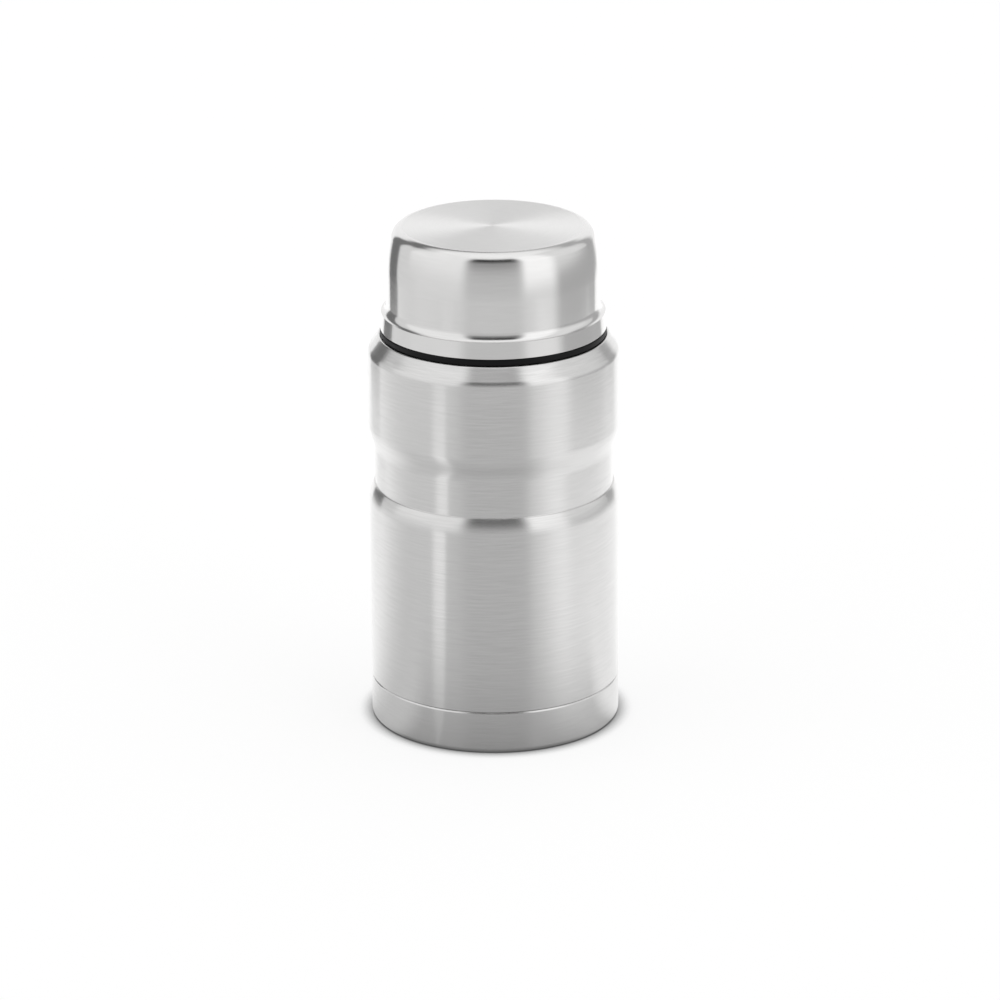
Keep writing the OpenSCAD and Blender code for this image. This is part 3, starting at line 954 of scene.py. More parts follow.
    def _strap(self, centre: float, half: float) -> None:
        """Builds the strap over the getter.

        Args:
            centre: Where it stands along the plate.
            half: Half of its inner span.
        """
        low, high = (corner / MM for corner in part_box("getter_strap"))
        thick = self.strap
        mid_low, mid_high, mid_half = low.z + thick / 2, high.z - thick / 2, half + thick / 2
        span = high.x - centre
        bends = [
            Corner(-span, mid_low), Corner(-mid_half, mid_low, 0.3), Corner(-mid_half, mid_high, 0.3),
            Corner(mid_half, mid_high, 0.3), Corner(mid_half, mid_low, 0.3), Corner(span, mid_low),
        ]
        path = rounded(bends, closed=False)
        rings = []
        for i, (x, z) in enumerate(path):
            ahead, back = path[min(i + 1, len(path) - 1)], path[max(i - 1, 0)]
            along = Vector((ahead[0] - back[0], ahead[1] - back[1])).normalized()
            up = Vector((-along.y, along.x)) * thick / 2
            at = centre + x
            rings.append([
                (at - up.x, low.y, z - up.y), (at - up.x, high.y, z - up.y),
                (at + up.x, high.y, z + up.y), (at + up.x, low.y, z + up.y),
            ])
        MeshMaker().sweep(rings).piece(
            "getter_band", Body.JAR, Slot.PLAIN_STEEL, self.finishes, ["getter_strap"]
        )

    def neck_thread(self) -> None:
        """Builds the ring round the neck, with its three ridges."""
        ring = Solid.of("neck_thread_ring")
        outer = ring.radius - self.thread_bite
        inner = outer - self.thread_wall
        section = [
            Corner(inner, ring.bottom, 0.1), Corner(outer, ring.bottom, 0.2),
            Corner(outer, ring.top, 0.25), Corner(inner, ring.top, 0.1),
        ]
        maker = MeshMaker().turn(rounded(section), 256)
        low = ring.bottom + self.thread_inset
        self.thread.cut(maker, outer, ring.radius, low, self.neck_climb, ring.bottom)
        maker.piece(
            "neck_thread", Body.JAR, Slot.LINER_STEEL, self.finishes, ["neck_thread_ring"]
        )

    def build(self) -> None:
        """Builds every piece of the jar."""
        self.outer_shell()
        self.base()
        self.base_plate()
        self.liner()
        self.vacuum_space()
        self.neck_thread()


@dataclass
class Stopper:
    """The screw stopper: threaded skirt with its flange and grip, plug, seals and cover."""

    finishes: Finishes
    thread: Thread
    fit: float = 0.05
    skirt_in: float = 36.85
    skirt_out: float = 38.15
    skirt_crest: float = 39.55
    lug_crest: float = 35.85
    lug_climb: float = 5.0
    skirt_climb: float = 5.2
    thread_inset: float = 1.6
    flange: float = 2.35
    flange_edge: float = 0.5
    deck: float = 1.6
    cover_ledge: float = 1.0
    grip_edge: float = 0.6
    grip_ribs: int = 48
    rib: float = 0.4
    rib_ends: tuple[float, float] = (0.5, 0.7)
    guide_hole: float = 4.25
    plug_wall: float = 1.2
    groove: float = 0.6
    seal_lip: float = 0.9
    lip_seal_in: float = 33.5
    valve_hole: float = 2.6
    land: float = 4.0
    dish: float = 0.5
    dish_slope: float = 0.5
    button_hole: float = 8.3

    def _rib_relief(self, low: float, high: float) -> Callable[[float, float, float], float]:
        """Makes the relief of the grip's ribs.

        Args:
            low: Height at which the ribs start.
            high: Height at which they end.

        Returns:
            Extra radius at an angle, a radius and a height.
        """

        def relief(angle: float, r: float, z: float) -> float:
            """Raises a half-round rib, faded at both ends."""
            if r < self.skirt_out - self.rib:
                return 0.0
            wave = max(0.0, math.cos(angle * self.grip_ribs))
            start, end = ((z - low) / self.rib_ends[0], (high - z) / self.rib_ends[1])
            rise = min(1.0, max(0.0, start)) * min(1.0, max(0.0, end))
            return self.rib * wave**0.7 * rise

        return relief

    def body(self) -> None:
        """Builds the skirt, flange, deck and ribbed grip as one moulding."""
        whole = Solid.of("stopper_body")
        seal, cover = Solid.of("lip_seal"), Solid.of("stopper_top_cover")
        deck = seal.top + self.fit
        flange_top = whole.bottom + self.flange
        ribs = flange_top + self.thread_inset + self.skirt_climb + self.thread.root
        rib_top = whole.top - self.grip_edge
        edge, ledge_r, floor = self.flange_edge, self.skirt_in - self.cover_ledge, deck + self.deck
        outline = [
            Corner(self.skirt_in, whole.bottom, 0.3), Corner(whole.radius, whole.bottom, edge),
            Corner(whole.radius, flange_top, edge), Corner(self.skirt_out, flange_top, 0.4),
            Corner(self.skirt_out, ribs),
        ]
        outline += [Corner(self.skirt_out, ribs + (rib_top - ribs) * i / 24) for i in range(1, 25)]
        outline += [
            Corner(self.skirt_out, whole.top, self.grip_edge), Corner(self.skirt_in, whole.top, 0.3),
            Corner(self.skirt_in, cover.bottom, 0.1), Corner(ledge_r, cover.bottom, 0.2),
            Corner(ledge_r, floor, 0.6), Corner(self.guide_hole, floor, 0.1),
            Corner(self.guide_hole, deck, 0.1), Corner(self.skirt_in, deck, 0.5),
        ]
        maker = MeshMaker().turn(rounded(outline), 768, relief=self._rib_relief(ribs, rib_top))
        low = whole.bottom + self.thread_inset
        shift = Solid.of("neck_thread_ring").bottom + self.thread.pitch / 2
        self.thread.cut(maker, self.skirt_in, self.lug_crest, low, self.lug_climb, shift)
        low = flange_top + self.thread_inset
        self.thread.cut(
            maker, self.skirt_out, self.skirt_crest, low, self.skirt_climb, flange_top
        )
        maker.piece(
            "stopper_moulding", Body.STOPPER, Slot.BLACK_PLASTIC, self.finishes, ["stopper_body"]
        )

    def plug(self) -> None:
        """Builds the hollow plug, its foam and its seal."""
        plug, seal = Solid.of("stopper_plug"), Solid.of("plug_seal")
        inner, root = plug.radius - self.plug_wall, plug.radius - self.groove
        floor = plug.bottom + self.plug_wall
        outline = [
            Corner(self.valve_hole, plug.bottom, 0.3), Corner(plug.radius, plug.bottom, 1.2),
            Corner(plug.radius, seal.bottom - self.fit, 0.15),
            Corner(root, seal.bottom - self.fit, 0.1),
            Corner(root, seal.top + self.fit, 0.1), Corner(plug.radius, seal.top + self.fit, 0.15),
            Corner(plug.radius, plug.top, 0.1), Corner(inner, plug.top, 0.1),
            Corner(inner, floor, 0.3), Corner(self.valve_hole, floor, 0.2),
        ]
        MeshMaker().turn(rounded(outline), 256).piece(
            "plug_shell", Body.STOPPER, Slot.BLACK_PLASTIC, self.finishes, ["stopper_plug"]
        )
        lip = self.seal_lip
        outline = [
            Corner(root + self.fit, seal.bottom, 0.1), Corner(plug.radius, seal.bottom, 0.15),
            Corner(seal.radius, seal.bottom + lip, 0.25),
            Corner(plug.radius - 0.1, seal.bottom + 1.5 * lip, 0.2),
            Corner(seal.radius - 0.1, seal.top - lip, 0.25), Corner(plug.radius, seal.top, 0.2),
            Corner(root + self.fit, seal.top, 0.1),
        ]
        MeshMaker().turn(rounded(outline), 256).piece(
            "plug_ring", Body.STOPPER, Slot.SILICONE, self.finishes, ["plug_seal"]
        )
        foam = Solid.of("stopper_foam")
        outline = [
            Corner(self.guide_hole, foam.bottom, 0.3), Corner(foam.radius, foam.bottom, 0.6),
            Corner(foam.radius, foam.top, 0.6), Corner(self.guide_hole, foam.top, 0.3),
        ]
        MeshMaker().turn(rounded(outline), 128).piece(
            "plug_filling", Body.STOPPER, Slot.FOAM, self.finishes, ["stopper_foam"]
        )

    def lip_ring(self) -> None:
        """Builds the silicone ring that seals on the jar's rim."""
        ring = Solid.of("lip_seal")
        inner, mid = self.lip_seal_in, (ring.bottom + ring.top) / 2
        outline = [
            Corner(inner, ring.bottom, 0.4), Corner(ring.radius - 0.5, ring.bottom, 0.3),
            Corner(ring.radius, mid, 0.5), Corner(ring.radius - 0.3, ring.top, 0.3),
            Corner(inner, ring.top, 0.4),
        ]
        MeshMaker().turn(rounded(outline), 256).piece(
            "rim_seal", Body.STOPPER_RISER, Slot.SILICONE, self.finishes, ["lip_seal"]
        )

    def cover(self) -> None:
        """Builds the dished cover round the vent button."""
        cover = Solid.of("stopper_top_cover")
        low_in, low_out = self.button_hole + self.land, cover.radius - self.land
        outline = [
            Corner(self.button_hole, cover.bottom, 0.2), Corner(cover.radius, cover.bottom, 0.2),
            Corner(cover.radius, cover.top, 0.3), Corner(low_out + self.dish_slope, cover.top, 0.4),
            Corner(low_out, cover.top - self.dish, 0.4), Corner(low_in, cover.top - self.dish, 0.4),
            Corner(low_in - self.dish_slope, cover.top, 0.4), Corner(self.button_hole, cover.top, 0.35),
        ]
        MeshMaker().turn(rounded(outline), 256).piece(
            "grip_cover", Body.STOPPER, Slot.BLACK_PLASTIC, self.finishes, ["stopper_top_cover"]
        )

    def build(self) -> None:
        """Builds every piece of the stopper but its vent."""
        self.body()
        self.plug()
        self.lip_ring()
        self.cover()


@dataclass
class Vent:
    """Button, stem, spring, guide and valve that let pressure out of the jar."""

    finishes: Finishes
    fit: float = 0.05
    bore: float = 1.9
    guide_r: float = 4.2
    guide_flange: float = 1.2
    cap: float = 1.2
    button_r: float = 8.0
    button_foot: float = 0.2
    button_dish: tuple[float, float] = (0.35, 0.25)
    button_dish_r: tuple[float, float] = (4.5, 6.9)
    stem_r: float = 1.6
    stem_groove: float = 0.3
    hub_r: float = 3.0
    hub_z: float = 178.4
    wire: float = 0.7
    spring_r: float = 5.5
    spring_turns: int = 4
    spring_end: float = 0.125
    travel: float = 1.5
    disc_lean: float = 1.4
    clip_mouth: float = 2.08

    def guide(self) -> None:
        """Builds the tube that the stem slides in."""
        guide = Solid.of("vent_guide")
        flange = guide.top - self.guide_flange
        outline = [
            Corner(self.bore, guide.bottom, 0.3), Corner(self.guide_r, guide.bottom, 0.3),
            Corner(self.guide_r, flange, 0.05), Corner(guide.radius, flange, 0.1),
            Corner(guide.radius, guide.top, 0.3), Corner(self.bore, guide.top, 0.3),
        ]
        MeshMaker().turn(rounded(outline), 96).piece(
            "stem_guide", Body.STOPPER, Slot.BLACK_PLASTIC, self.finishes, ["vent_guide"]
        )

    def spring(self) -> None:
        """Builds the return spring."""
        spring = Solid.of("vent_spring")
        low, high = spring.bottom, spring.top
        rise = high - low - self.wire
        steps = self.spring_turns * 40
        rings = []
        for i in range(steps + 1):
            share = i / steps
            # The end turns lie flat, as those of a wound spring do
            climb = min(1.0, max(0.0, (share - self.spring_end) / (1 - 2 * self.spring_end)))
            a = 2 * math.pi * self.spring_turns * share
            mid = low + self.wire / 2 + rise * climb
            wire = arc((self.spring_r, mid), self.wire / 2, 0, 330, 11)
            rings.append([(r * math.cos(a), r * math.sin(a), z) for r, z in wire])
        coil = MeshMaker().sweep(rings).piece(
            "button_spring", Body.STOPPER, Slot.SPRING_STEEL, self.finishes, ["vent_spring"]
        )
        keep = 1 - self.travel / (high - low)
        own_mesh(coil)

    def button(self) -> None:
        """Builds the button with its dished top, its flange and its hub."""
        button = Solid.of("vent_button")
        under = button.top - self.cap
        skirt = self.button_r - self.cap
        foot = self.hub_z + self.button_foot
        (deep, slope), (flat_r, edge_r) = self.button_dish, self.button_dish_r
        outline = [
            Corner(0, button.top - deep), Corner(flat_r, button.top - slope, 6.0),
            Corner(edge_r, button.top, 1.0), Corner(self.button_r, button.top, 0.5),
            Corner(self.button_r, foot + self.cap, 0.2),
            Corner(button.radius, foot + self.cap, 0.3), Corner(button.radius, foot, 0.2),
            Corner(skirt, foot, 0.2), Corner(skirt, under, 0.3), Corner(self.hub_r, under, 0.3),
            Corner(self.hub_r, self.hub_z, 0.2), Corner(self.stem_r + self.fit, self.hub_z, 0.1),
            Corner(self.stem_r + self.fit, under), Corner(0, under),
        ]
        MeshMaker().turn(rounded(outline, closed=False), 160, closed=False).piece(
            "vent_cap", Body.VENT, Slot.BUTTON_PLASTIC, self.finishes, ["vent_button"]
        )

    def stem(self) -> None:
        """Builds the stem, the valve's disc and the clip that holds it."""
        stem, clip, seal = Solid.of("vent_stem"), Solid.of("valve_clip"), Solid.of("valve_seal")
        groove = self.stem_r - self.stem_groove
        low, high = clip.bottom - self.fit, clip.top + self.fit
        outline = [
            Corner(0, stem.bottom), Corner(self.stem_r, stem.bottom, 0.35),
            Corner(self.stem_r, low, 0.05), Corner(groove, low, 0.05),
            Corner(groove, high, 0.05), Corner(self.stem_r, high, 0.05),
            Corner(self.stem_r, stem.top, 0.2), Corner(0, stem.top),
        ]
        MeshMaker().turn(rounded(outline, closed=False), 64, closed=False).piece(
            "vent_rod", Body.VENT, Slot.SPRING_STEEL, self.finishes, ["vent_stem"]
        )
        outline = [
            Corner(self.stem_r + self.fit, seal.bottom, 0.2),
            Corner(seal.radius - self.disc_lean, seal.bottom, 0.5),
            Corner(seal.radius - 0.1, seal.top - 0.5, 0.2), Corner(seal.radius, seal.top, 0.15),
            Corner(self.stem_r + self.fit, seal.top, 0.2),
        ]
        MeshMaker().turn(rounded(outline), 128).piece(
            "valve_disc", Body.VENT, Slot.SILICONE, self.finishes, ["valve_seal"]
        )
        mouth = math.degrees(math.asin(self.clip_mouth / 2 / ((groove + clip.radius) / 2)))
        section = rounded([
            Corner(groove + self.fit, clip.bottom, 0.1), Corner(clip.radius, clip.bottom, 0.12),
            Corner(clip.radius, clip.top, 0.12), Corner(groove + self.fit, clip.top, 0.1),
        ])
        rings = []
        for i in range(65):
            a = math.radians(mouth + (360 - 2 * mouth) * i / 64)
            rings.append([(r * math.cos(a), r * math.sin(a), z) for r, z in section])
        MeshMaker().sweep(rings).piece(
            "retaining_clip", Body.VENT, Slot.SPRING_STEEL, self.finishes, ["valve_clip"]
        )

    def build(self) -> None:
        """Builds every piece of the vent."""
        self.guide()
        self.spring()
        self.button()
        self.stem()


@dataclass
class Cup:
    """The steel cup that screws on over the stopper."""

    finishes: Finishes
    thread: Thread
    fit: float = 0.05
    wall: float = 0.5
    hem: float = 0.3
    rim_drop: float = 0.65
    rim_r: float = 44.95
    band_r: float = 44.5
    band_height: float = 6.2
    band_inset: float = 1.75
    band_curve: float = 3.6
    straight: float = 11.8
    barrel: float = 15.5
    barrel_in: float = 2.0
    crown: float = 4.9
    liner_wall: float = 0.4
    liner_mid: float = 41.7
    liner_r: float = 40.0
    liner_step: float = 0.6
    stopper_flange: float = 3.0
    thread_root: float = 39.85
    thread_crest: float = 38.85
    thread_climb: float = 4.0
    thread_inset: float = 1.6

    def outer_shell(self) -> None:
        """Builds the outer wall with its band, barrel and crown."""
        cup = Solid.of("cup_outer_shell")
        wall_z = cup.bottom + self.band_height + self.band_curve
        wall_r = cup.radius - self.band_inset
        barrel_z = wall_z + self.straight
        lean = math.atan(2 * self.barrel_in / self.barrel)
        crown_r = wall_r - self.barrel_in - self.crown * math.cos(lean)
        turns = [math.pi / 2 * i / 24 for i in range(25)]
        rim = cup.bottom - self.rim_drop
        outline = [Corner(self.rim_r - self.hem, rim), Corner(self.rim_r, rim + self.hem, 0.15)]
        outline += corners(
            (self.band_r + (wall_r - self.band_r) * math.sin(a), wall_z - self.band_curve * math.cos(a))
            for a in turns
        )
        outline += corners(
            (wall_r - self.barrel_in * t * t, barrel_z + self.barrel * t)
            for t in (i / 16 for i in range(17))
        )
        crown_z = cup.top - self.crown
        outline += corners(arc((crown_r, crown_z), self.crown, math.degrees(lean), 90, 32)[1:])
        outline += [Corner(crown_r * share, cup.top) for share in (0.99, 0.5, 0)]
        path = rounded(outline, closed=False)
        MeshMaker().turn(sheet(path, self.wall), 384, closed=False).piece(
            "cup_wall", Body.CUP, Slot.CUP_STEEL, self.finishes, ["cup_outer_shell"]
        )

    def liner(self) -> None:
        """Builds the inner wall, stepped round the thread ring."""
        cup, liner = Solid.of("cup_outer_shell"), Solid.of("cup_inner_liner")
        step = cup.bottom + self.band_height - 2 * self.liner_step
        wall_z = cup.bottom + self.band_height + self.band_curve
        barrel_z = wall_z + self.straight
        lean_r = self.liner_r - self.barrel_in
        outline = [
            Corner(liner.radius, liner.bottom), Corner(liner.radius, step, 0.3),
            Corner(self.liner_mid, step + self.liner_step, 0.3),
            Corner(self.liner_mid, wall_z - self.liner_step, 0.5),
            Corner(self.liner_r, wall_z + self.liner_step, 0.8), Corner(self.liner_r, barrel_z, 4.0),
        ]
        outline += corners(arc((lean_r - self.crown, liner.top - self.crown), self.crown, 0, 90, 20))
        outline += [Corner((lean_r - self.crown) * 0.98, liner.top), Corner(0, liner.top)]
        path = rounded(outline, closed=False)
        MeshMaker().turn(sheet(path, self.liner_wall), 256, closed=False).piece(
            "cup_lining", Body.CUP, Slot.LINER_STEEL, self.finishes, ["cup_inner_liner"], sharp=50
        )

    def thread_ring(self) -> None:
        """Builds the threaded ring in the cup's rim, and the gasket under it."""
        ring, gasket = Solid.of("cup_thread_ring"), Solid.of("cup_gasket")
        cup = Solid.of("cup_outer_shell")
        low_top = cup.bottom + self.band_height - 3 * self.liner_step
        high_r = self.liner_mid - self.liner_wall - self.fit
        outline = [
            Corner(self.thread_root, ring.bottom, 0.3), Corner(ring.radius, ring.bottom, 0.3),
            Corner(ring.radius, low_top, 0.3), Corner(high_r, low_top, 0.3),
            Corner(high_r, ring.top, 0.3), Corner(self.thread_root, ring.top, 0.4),
        ]
        maker = MeshMaker().turn(rounded(outline), 256)
        shift = Solid.of("stopper_body").bottom + self.stopper_flange + self.thread.pitch / 2
        low = ring.bottom + self.thread_inset
        self.thread.cut(maker, self.thread_root, self.thread_crest, low, self.thread_climb, shift)
        maker.piece(
            "cup_thread", Body.CUP, Slot.BLACK_PLASTIC, self.finishes, ["cup_thread_ring"]
        )
        outline = [
            Corner(self.thread_root, gasket.bottom - self.rim_drop, 0.35),
            Corner(gasket.radius, gasket.bottom - self.rim_drop, 0.35),
            Corner(gasket.radius, gasket.top, 0.35), Corner(self.thread_root, gasket.top, 0.35),
        ]
        MeshMaker().turn(rounded(outline), 256).piece(
            "cup_rim_ring", Body.CUP_RISER, Slot.SILICONE, self.finishes, ["cup_gasket"]
        )

    def build(self) -> None:
        """Builds every piece of the cup."""
        self.outer_shell()
        self.liner()
        self.thread_ring()


def dress_frame(finishes: Finishes) -> None:
    """Gives every shown solid of the frame its finish.

    Args:
        finishes: The jar's materials.
    """
    for part in frame["record"]["subparts"]:
        node = frame["nodes"][part["node"]]
        if node.hide_render:
            continue
        node.data.materials.clear()
        node.data.materials.append(finishes[Slot(part["material_slot"])])
        LOG.info("%s: dressed as %s", node.name, part["material_slot"])


# Studio ----------------------------------------------------------------------


@dataclass(frozen=True)
class Panel:
    """A soft-edged light or dark card on the studio dome.

    across is the azimuth in degrees, 0 in front and 90 to the right, and up is
    the elevation; half and soft say how far a panel and its soft edge reach.
    """

    name: str
    across: float
    half_across: float
    soft_across: float
    up: float
    half_up: float
    soft_up: float
    level: float


@dataclass(frozen=True)
class Card:
    """An upright card near the jar that only mirrors show.

    The azimuth is in degrees, 0 in front and 90 to the right; distance, width
    and the heights of its edges are in metres.
    """

    name: str
    azimuth: float
    distance: float
    width: float
    bottom: float
    top: float
    level: float

    def edges(self) -> list[tuple[float, float, float]]:
        """Its four corners."""
        a = math.radians(self.azimuth)
        centre = Vector((math.sin(a), -math.cos(a), 0)) * self.distance
        side = Vector((math.cos(a), math.sin(a), 0)) * self.width / 2
        up = Vector((0, 0, 1))
        places = (centre - side, centre + side)
        low = [tuple(p + up * self.bottom) for p in places]
        return low + [tuple(p + up * self.top) for p in places[::-1]]


@dataclass(frozen=True)
class View:
    """The photograph's view, in metres and degrees."""

    distance: float = 2.045
    elevation: float = 19.3
    target: float = 0.09857
    roll: float = -0.314
    lens: float = 183.65
    sensor: float = 36.0
    shift: tuple[float, float] = (0.0058, -0.0218)
    clip: tuple[float, float] = (0.1, 50.0)

    def place(self) -> None:
        """Places the camera at the photograph's height, distance and framing."""
        elevation, roll = math.radians(self.elevation), math.radians(self.roll)
        data = bpy.data.cameras.new("camera")
        data.lens, data.sensor_width = self.lens, self.sensor
        data.shift_x, data.shift_y = self.shift
        data.clip_start, data.clip_end = self.clip
        cam = bpy.data.objects.new("camera", data)
        bpy.context.scene.collection.objects.link(cam)
        back = Vector((0, -math.cos(elevation), math.sin(elevation)))
        right = Vector((1, 0, 0))
        up = back.cross(right)
        turned_right = right * math.cos(roll) + up * math.sin(roll)
        turned_up = up * math.cos(roll) - right * math.sin(roll)
        matrix = Matrix((turned_right, turned_up, back)).transposed().to_4x4()
        matrix.translation = Vector((0, 0, self.target)) + back * self.distance
        cam.matrix_world = matrix
        bpy.context.scene.camera = cam


@dataclass
class Studio:
    """Floor, upright cards and the dome of light cards."""

    ambient: float = 0.85
    floor_tone: float = 0.25
    floor_lift: float = 0.776
    floor_half_width: float = 0.46
    floor_front: float = 0.42
    floor_back: float = 3.0
    # Reach, span and depth of the painted shadow that AO lays on the table round the jar
    shadow_reach: float = 0.009
    shadow_span: tuple[float, float] = (0.25, 0.92)
    shadow_depth: float = 0.08
    # Painted glow of the table that only mirrors see: front level, side gains, painted shade round the
    # jar's foot and a painted streak of light
    painted_mirror_front: float = 0.44
    painted_mirror_sides: tuple[tuple[int, float, float, float], ...] = (
        (1, 25, 62, 0.5),
        (1, 100, 150, 0.12),
        (-1, 30, 60, 0.09),
        (-1, 76, 128, 0.5),
    )
    painted_foot_shade: tuple[float, float, float] = (0.05, 0.17, 0.45)
    painted_foot_shade_sides: tuple[float, float, float] = (12, 40, 80)
    streak_apex: tuple[float, float] = (-0.0235, -0.044)
    streak_in: tuple[float, float] = (-63, -55)
    streak_out: tuple[float, float] = (-46.5, -44)
    streak_rise: tuple[float, float] = (0.08, 0.26)
    streak_fade: tuple[float, float] = (0.38, 0.52)
    streak_gain: float = 0.5
    streak_foot: float = 0.35
    panels: tuple[Panel, ...] = (
        Panel("overhead softbox", 0, 400, 1, 90, 33, 6, 1.15),
        Panel("left softbox", -66, 37, 4, 29, 30, 6, 1.08),
        Panel("right softbox", 53, 22, 5, 28, 34, 6, 1.3),
        Panel("right fill", 92, 22, 8, 28, 34, 6, 0.95),
        Panel("lower right", 110, 38, 8, -17, 16, 4, 0.5),
        Panel("lower left", -62, 30, 8, -17, 16, 4, 0.9),
        Panel("left gap over the backdrop", -150, 33, 3, 41, 8, 4, 0.18),
        Panel("right gap over the backdrop", 152, 30, 4, 41, 7, 4, 0.5),
        Panel("backdrop", 180, 33, 2, 10, 22, 4, 1.1),
        Panel("front below the window", 0, 31, 8, -4, 13, 3, 0.68),
        Panel("lower window", 1, 29, 8, 19, 10, 2, 0.22),
        Panel("upper window", 1, 29, 8, 39, 12, 3, 0.02),
    )
    cards: tuple[Card, ...] = (
        Card("left flag", -132, 0.5, 0.2, 0.005, 0.71, 0.2),
        Card("right flag", 130, 0.5, 0.13, 0.005, 0.67, 0.5),
    )

    def _hang(
        self, name: str, edges: list[tuple[float, float, float]]
    ) -> tuple[bpy.types.Object, Bench, bpy.types.Node]:
        """Hangs a flat, dull face in the studio.

        Args:
            name: Its name.
            edges: Its corners, in metres.

        Returns:
            The object, a bench on its material and the Principled shader.
        """
        mesh = bpy.data.meshes.new(name)
        mesh.from_pydata(edges, [], [tuple(range(len(edges)))])
        made, bench, shader = blank(name)
        shader.inputs["Specular IOR Level"].default_value = 0.0
        shader.inputs["Emission Color"].default_value = grey(1.0)
        mesh.materials.append(made)
        face = bpy.data.objects.new(name, mesh)
        bpy.context.scene.collection.objects.link(face)
        return face, bench, shader

    def floor(self) -> None:
        """Lays the pale table, which keeps the jar's shadow; close round the jar a painted shadow also
        darkens its colour and its glow.
        """
        wide, front, back = self.floor_half_width, self.floor_front, self.floor_back
        edges = [(-wide, -front, 0), (wide, -front, 0), (wide, back, 0), (-wide, back, 0)]
        _, bench, shader = self._hang("floor", edges)
        # Painted shadow: an AO ramp darkens the table's colour and its camera glow close round the jar
        shade = bench.add("ShaderNodeAmbientOcclusion", samples=8)
        shade.inputs["Distance"].default_value = self.shadow_reach
        near = bench.ramp(shade.outputs["AO"], *self.shadow_span, self.shadow_depth, 1.0)
        bench.feed(shader.inputs["Base Color"], bench.mix(near, grey(0.0), grey(self.floor_tone)))
        shader.inputs["Roughness"].default_value = 0.9
        path = bench.add("ShaderNodeLightPath")
        # Mirrors see the table with a painted glow, graded by direction, on top of its own light
        mirrored = bench.math("MULTIPLY", path.outputs["Is Glossy Ray"], self._painted_mirror_glow(bench))
        lift = bench.math("MULTIPLY", bench.math("MULTIPLY", bench.seen(path), self.floor_lift), near)
        bench.feed(shader.inputs["Emission Strength"], bench.math("ADD", lift, mirrored))

    def hang_cards(self) -> None:
        """Hangs the upright cards, which only mirrors show."""
        for card in self.cards:
            face, _, shader = self._hang(card.name, card.edges())
            shader.inputs["Base Color"].default_value = grey(0.0)
            shader.inputs["Emission Strength"].default_value = card.level
            face.visible_camera = face.visible_diffuse = face.visible_shadow = False
            face.visible_transmission = False

    def _painted_mirror_glow(self, bench: Bench) -> Socket:
        """Painted glow of the table that only mirrors show, graded by direction from the jar.

        Args:
            bench: Bench on the table's material.

        Returns:
            The painted brightness.
        """
        x, y, _ = bench.split(bench.coordinates("Object"))
        right = bench.azimuth(x, bench.math("MULTIPLY", y, -1.0))
        light: Socket | float = self.painted_mirror_front
        for side, low, high, gain in self.painted_mirror_sides:
            turned = bench.math("MULTIPLY", right, side)
            light = bench.math("ADD", bench.ramp(turned, low, high, 0.0, gain), light)
        radius = bench.radius(x, y)
        # Painted shade: mirrors see the table darker close round the jar's foot, mostly in front
        foot = bench.ramp(radius, *self.painted_foot_shade, 1.0)
        middle, low, high = self.painted_foot_shade_sides
        away = bench.math("ABSOLUTE", bench.math("SUBTRACT", right, middle))
        foot = bench.math("MAXIMUM", foot, bench.ramp(away, low, high))
        # A painted streak of light on the table, seen only in mirrors
        ahead = bench.math("SUBTRACT", self.streak_apex[1], y)
        beside = bench.math("SUBTRACT", x, self.streak_apex[0])
        aside = bench.azimuth(beside, ahead)
        strip = bench.ramp(aside, *self.streak_in)
        for edge in (
            bench.ramp(aside, *self.streak_out, 1.0, 0.0),
            bench.ramp(radius, *self.streak_rise, self.streak_foot, 1.0),
            bench.ramp(radius, *self.streak_fade, self.streak_gain, 0.0),
        ):
            strip = bench.math("MULTIPLY", strip, edge)
        return bench.math("MULTIPLY", bench.math("ADD", light, strip), foot)

    def _mask(self, bench: Bench, panel: Panel, across: Socket, up: Socket) -> Socket:
        """Soft-edged mask of a panel.

        Args:
            bench: Bench on the world's tree.
            panel: The panel.
            across: Azimuth of the direction looked in.
            up: Its elevation.

        Returns:
            A value from 0 outside to 1 inside.
        """
        offset = bench.math("SUBTRACT", across, panel.across)
        aside = bench.math("ABSOLUTE", bench.math("WRAP", offset, 180.0, -180.0))
        above = bench.math("ABSOLUTE", bench.math("SUBTRACT", up, panel.up))
        edges = (
            bench.ramp(away, half - soft, half + soft, 1.0, 0.0)
            for away, half, soft in (
                (aside, panel.half_across, panel.soft_across),
                (above, panel.half_up, panel.soft_up),
            )
        )
        return bench.math("MULTIPLY", *edges)

    def dome(self) -> None:
        """Hangs the light and dark cards on the world."""
        world = bpy.data.worlds.new("studio")
        world.use_nodes = True
        bpy.context.scene.world = world
        tree = world.node_tree
        tree.nodes.clear()
        bench = Bench(tree)
        x, y, z = bench.split(bench.coordinates("Generated"))
        azimuth = bench.azimuth(x, bench.math("MULTIPLY", y, -1.0))
        elevation = bench.math("DEGREES", bench.math("ARCSINE", z))
        light: Socket | float = self.ambient
        for panel in self.panels:
            mask = self._mask(bench, panel, azimuth, elevation)
            gain = bench.math("SUBTRACT", panel.level, light)
            light = bench.math("MULTIPLY_ADD", mask, gain, light)
        path = bench.add("ShaderNodeLightPath")
        white = bench.math("SUBTRACT", 1.0, light)
        strength = bench.math("MULTIPLY_ADD", bench.seen(path), white, light)
        shade = bench.add("ShaderNodeBackground")
        shade.inputs["Color"].default_value = grey(1.0)
        bench.feed(shade.inputs["Strength"], strength)
        out = bench.add("ShaderNodeOutputWorld")
        bench.feed(out.inputs["Surface"], shade.outputs[0])

    def build(self) -> None:
        """Sets the colour handling and builds the whole studio."""
        bpy.context.scene.view_settings.view_transform = "Standard"
        View().place()
        self.floor()
        self.hang_cards()
        self.dome()


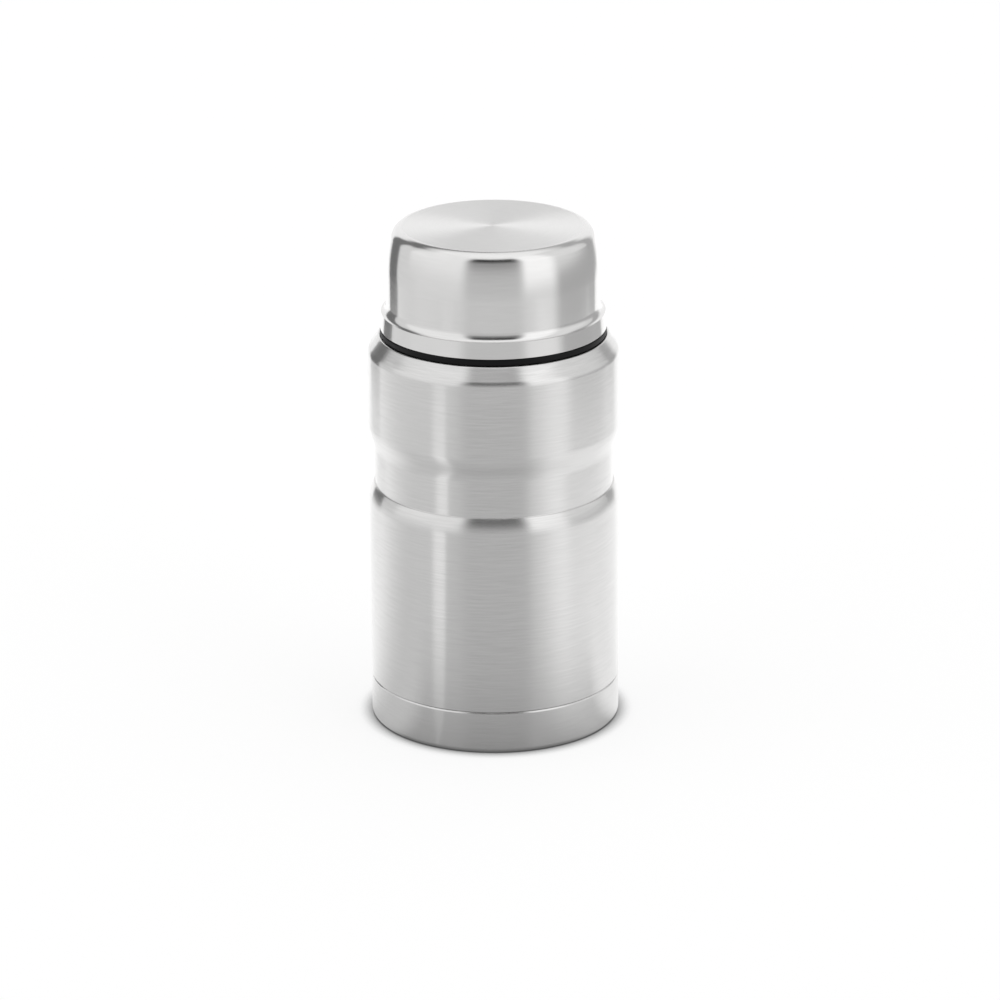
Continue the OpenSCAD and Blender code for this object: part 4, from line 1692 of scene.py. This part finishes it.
def main() -> None:
    """Builds the studio and the jar."""
    logging.basicConfig(level=logging.INFO, format="%(message)s")
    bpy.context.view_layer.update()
    Studio().build()
    finishes, thread = Finishes(), Thread()
    JarBody(finishes, thread).build()
    Stopper(finishes, thread).build()
    Vent(finishes).build()
    Cup(finishes, thread).build()
    dress_frame(finishes)


if __name__ == "__main__":
    main()
